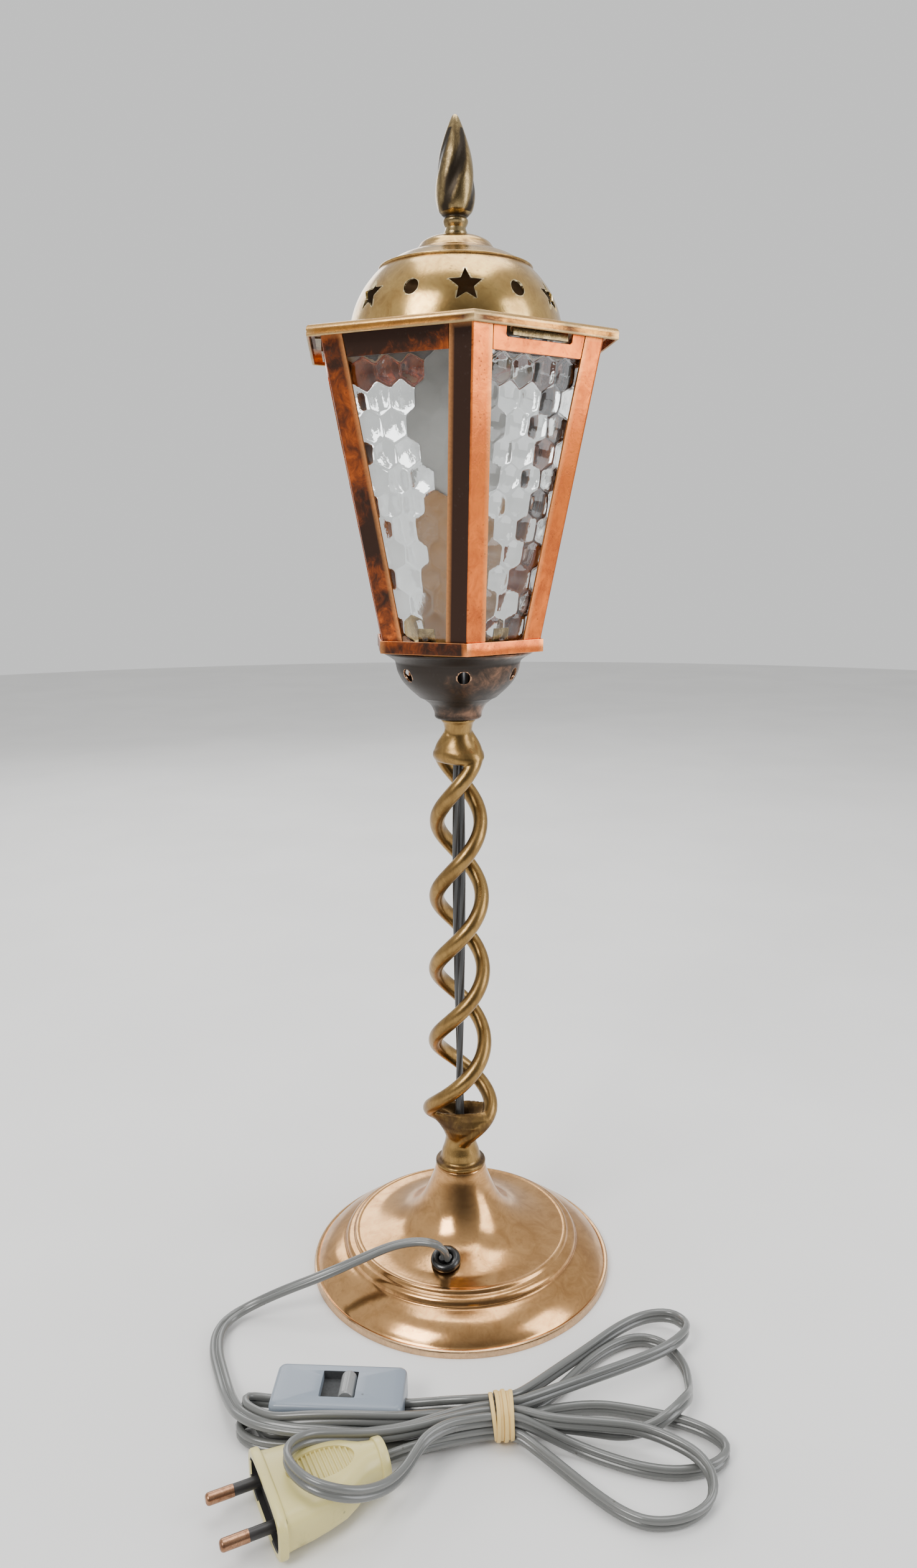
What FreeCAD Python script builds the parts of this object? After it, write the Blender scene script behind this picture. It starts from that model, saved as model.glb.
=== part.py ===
import FreeCAD, Part
import math
import os

# Table lamp with a six-sided glazed lantern head on a cast double-twist stem and a spun round foot.
# Row frame: origin at the centre of the foot's underside, +Z up, one corner of the lantern towards -Y.
# Millimetres throughout. Each function below makes one piece, and save() writes it to its own file.

V = FreeCAD.Vector
UP = V(0, 0, 1)

# ---- driving sizes: foot -------------------------------------------------------------------------
foot_radius = 65.0
foot_rim_height = 3.0
foot_wall = 1.4
skirt_bulge = 1.7            # how far the foot's outer roll stands proud of its chord
step_radius = 51.1           # foot of the moulded step around the plate
step_height = 11.6
plate_radius = 46.2          # edge of the foot's upper plate
plate_height = 16.4
bell_top_radius = 10.4
bell_top_height = 46.4
weight_outer_radius = 45.0
weight_inner_radius = 34.0
weight_top = 11.8
felt_thickness = 1.0
base_plate_thickness = 0.8

# ---- driving sizes: stem -------------------------------------------------------------------------
stem_collar_radius = 10.9
stem_collar_height = 2.3
lower_neck_radius = 6.4
lower_neck_rise = 12.9       # from the bell's top to the neck's waist
calyx_radius = 9.6
calyx_rise = 22.2            # from the bell's top to the floor of the open twist
twist_pitch = 64.0           # one whole turn of a strand
twist_height = 160.0         # from the first side lobe to the top lobe
strand_radius = 3.15
strand_count = 2
twist_base_rise = 25.6       # from the bell's top to the first side lobe
lobe_centre_radius = 13.7    # strand centre line at the lowest, widest lobe
twist_low_radius = 10.4      # strand centre line one half turn higher
twist_high_radius = 8.2      # strand centre line at the top lobe
upper_neck_radius = 5.3
upper_neck_drop = 5.9        # waist of the upper neck below the stem's top
stem_top_radius = 7.0
stem_height = 196.2          # from the bell's top to the cup's seat
flex_bore_radius = 3.5

# ---- driving sizes: threaded parts ---------------------------------------------------------------
lower_nipple_radius = 5.0    # M10 x 1
lower_nipple_bore = 3.7
lower_nipple_grip = 6.4      # length screwed into the stem
upper_nipple_radius = 4.0    # M8 x 1
upper_nipple_bore = 3.1
upper_nipple_grip = 5.0
nut_height = 3.8
washer_thickness = 1.2

# ---- driving sizes: cup and lantern frame --------------------------------------------------------
cup_wall = 0.8
cup_foot_radius = 9.4
cup_waist_radius = 14.6
cup_bowl_radius = 24.6
cup_lip_radius = 30.0
cup_height = 27.8
cup_vent_radius = 2.5
cup_vent_rise = 18.6
sheet = 0.8                  # copper sheet of the lantern frame
band_circumradius = 36.0
band_height = 4.9
frame_clearance = 0.1
body_height = 107.9          # from the bottom band's top edge to the top of the rails
top_circumradius = 57.9      # posts' outer corner at the top of the rails
post_flange = 8.4
rail_height = 9.0
rail_gap = 0.3
notch_width = 29.0
notch_depth = 4.6
tab_width = 24.0
tab_drop = 4.0
glass_thickness = 2.4
glass_clearance = 0.3
pane_clip_width = 7.0
pane_clip_height = 9.0

# ---- driving sizes: roof -------------------------------------------------------------------------
roof_circumradius = 63.3
roof_rim_height = 4.0
roof_wall = 0.9
roof_opening_radius = 33.0
roof_edge_round = 1.4
dome_wall = 0.8
dome_base_radius = 39.8
dome_flange_radius = 43.2
dome_ridge_radius = 28.0
dome_ridge_rise = 25.0       # above the roof plate
dome_cap_radius = 15.7
dome_cap_rise = 30.5
dome_top_radius = 6.6
dome_top_rise = 36.1
opening_rise = 12.6          # centres of the stars and round holes above the roof plate
star_outer_radius = 6.2
star_inner_ratio = 0.45
vent_hole_radius = 2.75
rivet_radius = 1.1
stud_radius = 2.4
finial_height = 41.5
finial_collar_radius = 4.3
flame_radius = 7.45

# ---- driving sizes: lampholder and bulb ----------------------------------------------------------
holder_rise = 19.4           # lampholder's underside above the cup's seat
holder_radius = 14.0
holder_height = 66.0
holder_wall = 1.6
holder_mouth_radius = 10.2
screw_shell_radius = 7.0     # inside of the E14 shell
screw_shell_wall = 0.45
screw_shell_length = 25.0
thread_clearance = 0.05
bulb_radius = 17.5
bulb_length = 98.0
bulb_cap_length = 24.0
bulb_wall = 0.8

# ---- driving sizes: flex, grommet, switch, plug and band -----------------------------------------
flex_width = 5.4
flex_radius = flex_width / 2.0
floor_clearance = 0.3
grommet_radius = 6.2
grommet_height = 3.6
grommet_azimuth = -107.0
grommet_centre_radius = 31.3
groove_depth = 1.4
switch_length = 48.0
switch_width = 22.0
switch_height = 15.0
switch_split = 6.4           # height of the base half
switch_wall = 1.7
switch_corner = 2.4
switch_centre = V(-53.0, -90.8, 0)
switch_angle = -8.5
window_length = 12.9
window_width = 12.7
knob_length = 6.0
knob_width = 11.0
knob_proud = 1.2
slider_travel = 6.2
plug_centre = V(-77.0, -134.5, 9.0)    # middle of the plug's front flange
plug_angle = 200.0                     # the pins point this way
plug_length = 42.0
plug_flange_half_width = 18.5
plug_flange_half_height = 8.7
pin_radius = 2.0
pin_sleeve_inset = 0.1       # the sleeves are slightly thinner than the tips
pin_spacing = 19.0
pin_reach = 16.5             # beyond the flange's front face
pin_tip_length = 9.2
bundle_radius = 7.0
band_wall = 1.4
band_width = 8.5
band_start = 0.3
bundle_y = -104.8

# ---- heights that follow from the sizes above ----------------------------------------------------
stem_top = bell_top_height + stem_height
twist_start = bell_top_height + twist_base_rise
twist_end = twist_start + twist_height
cup_top = stem_top + cup_height
band_top = cup_top + band_height
rail_top = band_top + body_height
roof_bottom_plate = rail_top + sheet
roof_plate_top = roof_bottom_plate + roof_wall
dome_top = roof_plate_top + dome_top_rise
holder_bottom = stem_top + holder_rise
holder_top = holder_bottom + holder_height
bulb_bottom = holder_top - screw_shell_length - 3.6
stud_bottom = dome_top - dome_wall - 1.0 - nut_height - 1.2
bulb_tip = min(bulb_bottom + bulb_length, stud_bottom - 3.0)
cos30 = math.cos(math.radians(30))


def save(name, *solids):
    """Write one node's file; identical loose pieces share it as separate solids."""
    shape = solids[0] if len(solids) == 1 else Part.makeCompound(list(solids))
    shape.exportStep("parts/" + name + ".step")


def outline(points):
    """A closed or open wire in the XZ plane: (r, z) runs straight, (mid, end) is an arc."""
    edges = []
    here = V(points[0][0], 0, points[0][1])
    for item in points[1:]:
        if isinstance(item[0], tuple):
            (middle_r, middle_z), (end_r, end_z) = item
            there = V(end_r, 0, end_z)
            edges.append(Part.Arc(here, V(middle_r, 0, middle_z), there).toShape())
        else:
            there = V(item[0], 0, item[1])
            edges.append(Part.LineSegment(here, there).toShape())
        here = there
    return Part.Wire(edges)


def spin(points):
    """Solid of revolution about Z from a closed outline."""
    closed = list(points) + [points[0]]
    return Part.Face(outline(closed)).revolve(V(0, 0, 0), UP, 360)


def spun_sheet(points, wall):
    """A spun shell: the open outline is its outer skin, and the wall lies to the left of its run."""
    skin = outline(points)
    lining = skin.makeOffset2D(wall, 0, False, True)
    skin_ends = (skin.OrderedVertexes[0].Point, skin.OrderedVertexes[-1].Point)
    lining_ends = (lining.OrderedVertexes[0].Point, lining.OrderedVertexes[-1].Point)
    if lining_ends[0].distanceToPoint(skin_ends[0]) > lining_ends[1].distanceToPoint(skin_ends[0]):
        lining_ends = lining_ends[::-1]
    rims = [Part.LineSegment(a, b).toShape() for a, b in zip(skin_ends, lining_ends)]
    section = Part.Face(Part.Wire(Part.__sortEdges__(skin.Edges + rims + lining.Edges)))
    return section.revolve(V(0, 0, 0), UP, 360)


def cylinder(radius, low, high, x=0.0, y=0.0):
    """Upright cylinder between two heights."""
    return Part.makeCylinder(radius, high - low, V(x, y, low), UP)


def ring(outer, inner, low, high):
    """Upright tube between two heights."""
    return cylinder(outer, low, high).cut(cylinder(inner, low - 1, high + 1))


def hexagon(circumradius, z):
    """Hexagon wire with one corner towards -Y."""
    corners = [polar(circumradius, 60 * i - 90, z) for i in range(6)]
    return Part.makePolygon(corners + [corners[0]])


def polar(radius, azimuth, z):
    """Point at a radius, an azimuth in degrees and a height."""
    angle = math.radians(azimuth)
    return V(radius * math.cos(angle), radius * math.sin(angle), z)


def hex_prism(circumradius, low, high):
    """Hexagonal block between two heights."""
    return Part.Face(hexagon(circumradius, low)).extrude(V(0, 0, high - low))


def hex_nut(across_flats, bore, low, high):
    """Hexagon nut with a plain bore at its thread's radius."""
    return hex_prism(across_flats / 2 / cos30, low, high).cut(cylinder(bore, low - 1, high + 1))


def aimed(shape, base, direction):
    """Turn a shape built about Z so that Z points along direction, and set its origin at base."""
    turned = shape.copy()
    turned.Placement = FreeCAD.Placement(base, FreeCAD.Rotation(UP, direction)).multiply(shape.Placement)
    return turned


def along_floor(shape, centre, degrees):
    """Turn a shape about Z and set its origin at centre."""
    turned = shape.copy()
    turned.Placement = FreeCAD.Placement(centre, FreeCAD.Rotation(UP, degrees)).multiply(shape.Placement)
    return turned


# ---- foot ----------------------------------------------------------------------------------------
def bell_points():
    """The foot's bell, from the edge of the plate up to the stem's seat, as two flowing arcs."""
    span = plate_radius - bell_top_radius
    rise = bell_top_height - plate_height

    def at(out, up):
        return (bell_top_radius + out * span, plate_height + up * rise)

    return [(at(0.55, 0.10), at(0.28, 0.315)), (at(0.105, 0.64), at(0, 1))]


def grommet_frame():
    """Where the flex's grommet sits on the bell, and the outward direction of its hole."""
    span = plate_radius - bell_top_radius
    base = polar(grommet_centre_radius, grommet_azimuth, plate_height + 2.3 * span / 35.8)
    lean = polar(math.sin(math.radians(20)), grommet_azimuth, math.cos(math.radians(20)))
    return base, lean


def foot_shell():
    """Spun brass foot: rim, outer roll, step, plate and bell."""
    dr = foot_radius - step_radius
    dz = step_height - foot_rim_height
    chord = math.hypot(dr, dz)
    roll = (step_radius + dr / 2 + skirt_bulge * dz / chord,
            foot_rim_height + dz / 2 + skirt_bulge * dr / chord)
    bead = (step_radius - (step_radius - plate_radius) * 0.24,
            step_height + (plate_height - step_height) * 0.64)
    points = [(foot_radius, 0), (foot_radius, foot_rim_height), (roll, (step_radius, step_height)),
              (bead, (plate_radius, plate_height))]
    shell = spun_sheet(points + bell_points(), foot_wall)
    shell = shell.cut(cylinder(lower_nipple_radius, bell_top_height - 5, bell_top_height + 5))
    shell = shell.fuse(ring(bell_top_radius, lower_nipple_radius, bell_top_height - foot_wall,
                            bell_top_height)).removeSplitter()
    base, lean = grommet_frame()
    hole = Part.makeCylinder(grommet_radius - groove_depth, 16, V(0, 0, -8), UP)
    return shell.cut(aimed(hole, base, lean)).Solids[0]


def foot_weight():
    """Cast iron ring that keeps the lamp upright."""
    low = felt_thickness + base_plate_thickness
    top = weight_top
    return spin([(weight_inner_radius, low), (weight_outer_radius, low),
                 (weight_outer_radius, top - 2), (weight_outer_radius - 2, top),
                 (weight_inner_radius, top)])


def base_plate():
    """Fibre disc that closes the foot and carries the felt."""
    low = felt_thickness
    return ring(foot_radius - foot_wall - 0.4, 9.0, low, low + base_plate_thickness)


def base_felt():
    """Felt disc under the foot."""
    return ring(foot_radius - foot_wall - 0.6, 9.0, 0, felt_thickness)


def grommet():
    """Rubber grommet: a rounded collar, a groove for the foot's wall and a lower flange."""
    hole = flex_radius + 0.05
    outer = grommet_radius
    neck = grommet_radius - groove_depth
    top = grommet_height
    half_wall = foot_wall * 0.62
    profile = [(hole, -half_wall - 2.2), (outer - 0.6, -half_wall - 2.2), (outer - 0.6, -half_wall - 0.9),
               (neck, -half_wall - 0.9), (neck, 0.7), (outer, 0.7), (outer, top - 1.6),
               ((outer - 0.5, top - 0.45), (outer - 1.6, top)),
               ((hole + 0.6, top - 0.35), (hole, top - 1.4))]
    base, lean = grommet_frame()
    return aimed(spin(profile), base, lean)


# ---- stem ----------------------------------------------------------------------------------------
def strand_offset(z):
    """Distance of a strand's centre line from the stem's axis at a height."""
    half = twist_pitch / 2
    stations = [(twist_start - 15.5, 2.6), (twist_start - 9.5, 7.2), (twist_start - 4.5, 11.6),
                (twist_start, lobe_centre_radius), (twist_start + 6, lobe_centre_radius - 0.6),
                (twist_start + half / 2, (lobe_centre_radius + twist_low_radius) / 2 - 0.6),
                (twist_start + half, twist_low_radius), (twist_end - half, twist_high_radius + 0.7),
                (twist_end - 5, twist_high_radius), (twist_end, twist_high_radius - 2.4),
                (twist_end + 5, 2.0)]
    for (z0, r0), (z1, r1) in zip(stations, stations[1:]):
        if z <= z1:
            return r0 + (r1 - r0) * (z - z0) / (z1 - z0)
    return stations[-1][1]


def strand(index):
    """One rod of the open double twist, swept along its helix."""
    low = twist_start - 15.5
    high = twist_end + 4.0
    count = 46
    path = []
    for i in range(count + 1):
        z = low + (high - low) * i / count
        turn = 360 * (z - twist_start) / twist_pitch + 360 * index / strand_count
        path.append(polar(strand_offset(z), turn - 5.3, z))
    curve = Part.BSplineCurve()
    curve.interpolate(path)
    start, heading = curve.value(0), curve.tangent(0)[0]
    section = Part.Wire(Part.Circle(start, heading, strand_radius).toShape())
    return Part.Wire(curve.toShape()).makePipeShell([section], True, True)


def stem_twist():
    """Cast brass stem: collar and neck, open double twist, hood and upper neck, in one piece."""
    seat = bell_top_height
    waist = seat + lower_neck_rise
    lower = spin([(flex_bore_radius, seat), (stem_collar_radius, seat),
                  (stem_collar_radius, seat + stem_collar_height),
                  ((8.0, seat + 6.4), (lower_neck_radius, waist)),
                  ((lower_neck_radius + 0.6, waist + 5.0), (calyx_radius, seat + calyx_rise)),
                  (flex_bore_radius, seat + calyx_rise - 1.6)])
    hood_edge = twist_end - 5.6
    neck = stem_top - upper_neck_drop
    upper = spin([(flex_bore_radius, stem_top), (stem_top_radius, stem_top),
                  (stem_top_radius, stem_top - 0.8),
                  ((upper_neck_radius + 0.5, stem_top - 3.2), (upper_neck_radius, neck)),
                  ((upper_neck_radius + 0.9, neck - 4.6), (9.3, hood_edge + 1.8)), (9.3, hood_edge),
                  (7.6, hood_edge), (flex_bore_radius, hood_edge + 5.0)])
    stem = lower.fuse([strand(i) for i in range(strand_count)] + [upper])
    stem = stem.cut(cylinder(flex_bore_radius, seat - 1, stem_top + 1))
    stem = stem.cut(cylinder(lower_nipple_radius, seat - 1, seat + lower_nipple_grip))
    stem = stem.cut(cylinder(upper_nipple_radius, stem_top - upper_nipple_grip, stem_top + 1))
    return stem.Solids[0]


def lower_nipple():
    """Threaded tube that clamps the foot to the stem."""
    return ring(lower_nipple_radius, lower_nipple_bore, bell_top_height - 12.5,
                bell_top_height + lower_nipple_grip)


def lower_washer():
    top = bell_top_height - foot_wall
    return ring(8.4, lower_nipple_radius, top - washer_thickness, top)


def lower_nut():
    top = bell_top_height - foot_wall - washer_thickness
    return hex_nut(14.0, lower_nipple_radius, top - nut_height, top)


def upper_nipple():
    """Threaded tube from the stem through the cup into the lampholder."""
    return ring(upper_nipple_radius, upper_nipple_bore, stem_top - upper_nipple_grip,
                holder_bottom + 4.0)


def upper_washer():
    low = stem_top + cup_wall
    return ring(7.4, upper_nipple_radius, low, low + washer_thickness)


def upper_nut():
    low = stem_top + cup_wall + washer_thickness
    return hex_nut(12.0, upper_nipple_radius, low, low + nut_height)


# ---- cup and frame -------------------------------------------------------------------------------
def cup():
    """Spun copper cup under the lantern, with six round vents below the corners."""
    h = cup_height
    lip = (cup_lip_radius, stem_top + h - cup_wall)
    points = [(upper_nipple_radius, stem_top), (cup_foot_radius - 1.0, stem_top),
              (cup_foot_radius, stem_top + 0.05 * h),
              ((cup_waist_radius - 3.8, stem_top + 0.20 * h), (cup_waist_radius, stem_top + 0.315 * h)),
              ((cup_bowl_radius - 3.2, stem_top + 0.54 * h), (cup_bowl_radius, stem_top + 0.79 * h)),
              ((cup_bowl_radius + 1.5, stem_top + 0.865 * h), lip)]
    shell = spun_sheet(points, cup_wall)
    for i in range(6):
        mouth = polar(cup_waist_radius, 60 * i - 90, stem_top + cup_vent_rise)
        shell = shell.cut(Part.makeCylinder(cup_vent_radius, 20, mouth, polar(1, 60 * i - 90, 0)))
    return shell.Solids[0]


def frame_base():
    """Hexagonal bottom band with its inward flange, which sits on the cup's lip."""
    outer = hex_prism(band_circumradius, cup_top, band_top)
    inner = hex_prism(band_circumradius - sheet / cos30, cup_top + sheet, band_top + 1)
    return outer.cut(inner).cut(cylinder(cup_bowl_radius - 3.0, cup_top - 1, band_top))


def post_corner(z):
    """Circumradius of the posts' outer corner at a height; they lean outwards as they rise."""
    low = band_circumradius - (sheet + frame_clearance) / cos30
    return low + (top_circumradius - low) * (z - band_top) / body_height


def ruled(low_points, high_points):
    """Straight-sided block between two outlines with the same number of corners."""
    wires = [Part.makePolygon(list(p) + [p[0]]) for p in (low_points, high_points)]
    return Part.makeLoft(wires, True, True)


def post(index):
    """One folded copper corner post with two flanges."""
    azimuth = 60 * index - 90

    def section(z):
        radius = post_corner(z)
        corner = polar(radius, azimuth, z)
        inner = polar(radius - sheet / cos30, azimuth, z)
        left = corner + polar(post_flange, azimuth + 120, 0)
        right = corner + polar(post_flange, azimuth - 120, 0)
        return [corner, left, left - polar(sheet, azimuth + 30, 0), inner,
                right - polar(sheet, azimuth - 30, 0), right]

    return ruled(section(cup_top + sheet), section(rail_top))


def face_slab(index, low, high, depth, thickness, side_gap, half_width=None):
    """Flat piece parallel to one lantern face: depth is measured inwards from the posts' faces."""
    azimuth = 60 * index - 60

    def section(z):
        reach = post_corner(z) * cos30 - depth
        half = half_width or (reach - thickness) / cos30 / 2 - side_gap
        out = polar(reach, azimuth, z)
        back = polar(reach - thickness, azimuth, z)
        side = polar(half, azimuth + 90, 0)
        return [out + side, out - side, back - side, back + side]

    return ruled(section(low), section(high))


def rail(index):
    """Top rail between two posts; every second one is notched for a roof tab."""
    azimuth = 60 * index - 60
    low = rail_top - rail_height

    def section(z):
        reach = post_corner(z) * cos30
        side = polar(post_corner(z) / 2 - post_flange - rail_gap, azimuth + 90, 0)
        out = polar(reach, azimuth, z)
        back = polar(reach - sheet, azimuth, z)
        return [out + side, out - side, back - side, back + side]

    strip = ruled(section(low), section(rail_top))
    if index % 2 == 0:
        strip = strip.cut(face_slab(index, rail_top - notch_depth, rail_top + 3, -2, 8, 0, notch_width / 2))
    return strip.Solids[0]


def top_ring():
    """Flat hexagonal ring soldered over posts and rails, slotted where the roof tabs pass."""
    plate = hex_prism(post_corner(rail_top), rail_top, rail_top + sheet)
    plate = plate.cut(hex_prism(post_corner(rail_top) - 8, rail_top - 1, rail_top + sheet + 1))
    for i in (0, 2, 4):
        slot = Part.makeBox(4, notch_width, 4, V(tab_reach() - 0.9, -notch_width / 2, rail_top - 1))
        plate = plate.cut(along_floor(slot, V(0, 0, 0), 60 * i - 60))
    return plate.Solids[0]


def glass_pane(index):
    """One pane of pressed glass behind the posts."""
    return face_slab(index, cup_top + sheet + glass_clearance, rail_top - glass_clearance,
                     sheet + glass_clearance, glass_thickness, 0.7)


def pane_clips():
    """Six copper clips that hold the panes against the posts at the bottom."""
    depth = sheet + glass_clearance + glass_thickness
    low = cup_top + sheet
    return [face_slab(i, low, low + pane_clip_height, depth, 0.5, 0, pane_clip_width / 2)
            for i in range(6)]


# ---- roof ----------------------------------------------------------------------------------------
def tab_reach():
    """Inner face of a roof tab, measured from the lamp's axis."""
    return post_corner(rail_top) * cos30 - 0.65


def roof_pan():
    """Hexagonal brass roof with a turned-down rim, open below and into the dome."""
    low = roof_plate_top - roof_rim_height
    block = hex_prism(roof_circumradius, low, roof_plate_top)
    top_edges = [e for e in block.Edges if min(v.Z for v in e.Vertexes) > roof_plate_top - 0.01]
    block = block.makeFillet(roof_edge_round, top_edges)
    block = block.cut(hex_prism(roof_circumradius - roof_wall / cos30, low - 1, roof_bottom_plate))
    return block.cut(cylinder(roof_opening_radius, low - 1, roof_plate_top + 1)).Solids[0]


def roof_tab(index):
    """Brass spring tab under the roof that drops into a notched rail."""
    azimuth = 120 * index - 60
    reach = tab_reach()
    half = tab_width / 2
    blade = Part.makeBox(0.6, tab_width, tab_drop + sheet, V(reach, -half, rail_top - tab_drop))
    foot = Part.makeBox(2.2, tab_width, 0.5, V(reach + 0.6, -half, roof_bottom_plate - 0.5))
    return along_floor(blade.fuse(foot).removeSplitter(), V(0, 0, 0), azimuth)


def star_cutter(azimuth):
    """Five-pointed prism that pierces the dome outwards, one point up."""
    corners = []
    for k in range(10):
        radius = star_outer_radius if k % 2 == 0 else star_outer_radius * star_inner_ratio
        angle = math.radians(90 + 36 * k)
        corners.append(V(0, radius * math.cos(angle), radius * math.sin(angle)))
    face = Part.Face(Part.makePolygon(corners + [corners[0]]))
    prism = face.extrude(V(30, 0, 0))
    prism.translate(V(dome_base_radius - 15, 0, 0))
    return along_floor(prism, V(0, 0, roof_plate_top + opening_rise), azimuth)


def dome():
    """Two-tier spun brass dome pierced with six stars and six round holes."""
    z = roof_plate_top
    points = [(dome_flange_radius, z + dome_wall), (dome_base_radius, z + dome_wall),
              ((dome_base_radius - 3.4, z + 0.53 * dome_ridge_rise),
               (dome_ridge_radius + 0.3, z + dome_ridge_rise - 0.4)),
              (dome_ridge_radius - 0.4, z + dome_ridge_rise + 0.3),
              ((dome_ridge_radius - 6.0, z + dome_ridge_rise + 3.4), (dome_cap_radius, z + dome_cap_rise)),
              ((dome_cap_radius - 3.0, z + dome_cap_rise + 3.5), (dome_top_radius, z + dome_top_rise)),
              (stud_radius, z + dome_top_rise)]
    shell = spun_sheet(points, dome_wall)
    for i in range(6):
        shell = shell.cut(star_cutter(60 * i - 90))
        mouth = polar(dome_base_radius - 15, 60 * i - 60, z + opening_rise)
        shell = shell.cut(Part.makeCylinder(vent_hole_radius, 30, mouth, polar(1, 60 * i - 60, 0)))
    for i in range(3):
        x, y, _ = polar(rivet_circle(), 120 * i - 30, 0)
        shell = shell.cut(cylinder(rivet_radius * 0.7, z - 1, z + 3, x, y))
    return shell.Solids[0]


def rivet_circle():
    """Radius of the circle of dome rivets, midway across the dome's flange."""
    return (dome_flange_radius + dome_base_radius) / 2


def dome_rivets():
    """Three brass rivets that hold the dome's flange to the roof."""
    top = roof_plate_top + dome_wall
    rivets = []
    for i in range(3):
        centre = polar(rivet_circle(), 120 * i - 30, 0)
        profile = [(0, roof_plate_top), (rivet_radius * 0.7, roof_plate_top), (rivet_radius * 0.7, top),
                   (rivet_radius, top), ((rivet_radius * 0.75, top + 0.5), (0.2, top + 0.8)), (0, top + 0.8)]
        rivet = spin(profile)
        rivet.translate(centre)
        rivets.append(rivet)
    return rivets


def finial():
    """Cast flame finial on a small waisted collar, tapped for its stud."""
    z = dome_top
    h = finial_height
    c = finial_collar_radius
    f = flame_radius
    profile = [(stud_radius, z), (c, z), ((c - 0.35, z + 0.08 * h), (c + 0.3, z + 0.14 * h)),
               (c - 0.1, z + 0.158 * h), ((f - 1.2, z + 0.22 * h), (f, z + 0.37 * h)),
               ((f - 1.6, z + 0.67 * h), (2.7, z + 0.90 * h)), ((1.6, z + 0.965 * h), (0.3, z + h)),
               (0, z + h), (0, z + 8), (stud_radius, z + 8)]
    return spin(profile)


def finial_stud():
    """Threaded stud from the finial through the dome's top."""
    return cylinder(stud_radius, stud_bottom, dome_top + 8)


def finial_washer():
    high = dome_top - dome_wall
    return ring(5.6, stud_radius, high - 1.0, high)


def finial_nut():
    high = dome_top - dome_wall - 1.0
    return hex_nut(8.0, stud_radius, high - nut_height, high)


# ---- lampholder and bulb -------------------------------------------------------------------------
def holder_base():
    """Lower half of the lampholder, screwed on the upper nipple."""
    z = holder_bottom
    wall = holder_wall
    return spin([(upper_nipple_radius, z), (holder_radius - 4, z), (holder_radius, z + 4),
                 (holder_radius, z + 13), (holder_radius - wall, z + 13),
                 (holder_radius - wall, z + 5.2), (holder_radius - 4.4, z + 4),
                 (upper_nipple_radius, z + 4)])


def holder_sleeve():
    """Brown upper sleeve of the lampholder with an inward rim at its mouth."""
    z = holder_bottom + 13
    wall = holder_wall
    top = holder_top
    return spin([(holder_radius, z), (holder_radius, top - 1.2), ((holder_radius - 0.4, top - 0.3),
                 (holder_radius - 1.4, top)), (holder_mouth_radius, top),
                 (holder_mouth_radius, top - wall), (holder_radius - wall, top - wall - 1),
                 (holder_radius - wall, z)])


def holder_core():
    """Ceramic core that carries the contacts, with a blind hole for the centre spring."""
    z = holder_bottom + 13
    outer = holder_radius - holder_wall - 0.3
    return ring(outer, 3.4, z, z + 12).fuse(ring(outer, screw_shell_radius + screw_shell_wall,
                                                 z + 12, bulb_bottom + 4)).removeSplitter()


def holder_screw_shell():
    """E14 screw shell seated in the core."""
    outer = screw_shell_radius + screw_shell_wall
    low = holder_bottom + 25
    return ring(outer, screw_shell_radius, low, bulb_bottom + screw_shell_length - 4)


def holder_contact():
    """Centre contact strip below the bulb."""
    z = holder_bottom + 25
    strip = Part.makeBox(8, 4, 0.5, V(-4, -2, z))
    tongue = Part.makeBox(3.4, 3, bulb_bottom - glass_clearance - z, V(-1.7, -1.5, z))
    return strip.fuse(tongue).removeSplitter()


def holder_terminals():
    """Two brass terminal posts under the core."""
    z = holder_bottom + 13
    return [cylinder(1.8, z - 4.5, z, side * 7.5, 0) for side in (-1, 1)]


def bulb_cap():
    """E14 cap with its insulator boss and centre contact as one turned piece."""
    z = bulb_bottom
    radius = screw_shell_radius - thread_clearance
    return spin([(0, z), (2.2, z), (3.0, z + 1.4), (radius - 0.6, z + 3.2), (radius, z + 4.0),
                 (radius, z + bulb_cap_length - 2), (radius + 0.3, z + bulb_cap_length),
                 (0, z + bulb_cap_length)])


def bulb_glass():
    """Frosted candle bulb, hollow, 35 mm across."""
    z = bulb_bottom + bulb_cap_length
    top = bulb_tip
    reach = top - z
    neck = screw_shell_radius - 0.3
    outer = [(neck, z), ((neck + 3.2, z + 0.13 * reach), (bulb_radius - 1.2, z + 0.30 * reach)),
             ((bulb_radius, z + 0.40 * reach), (bulb_radius - 1.6, z + 0.55 * reach)),
             ((9.4, z + 0.80 * reach), (1.2, top)), (0, top)]
    inner = [(0, top - 2.0), (1.0, top - 2.2),
             ((9.4 - bulb_wall, z + 0.79 * reach), (bulb_radius - 1.6 - bulb_wall, z + 0.55 * reach)),
             ((bulb_radius - bulb_wall, z + 0.40 * reach),
              (bulb_radius - 1.2 - bulb_wall, z + 0.30 * reach)),
             ((neck + 3.2 - bulb_wall, z + 0.13 * reach), (neck - bulb_wall, z + 0.6)), (0, z + 0.6),
             (0, z)]
    return spin(outer + inner)


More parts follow.
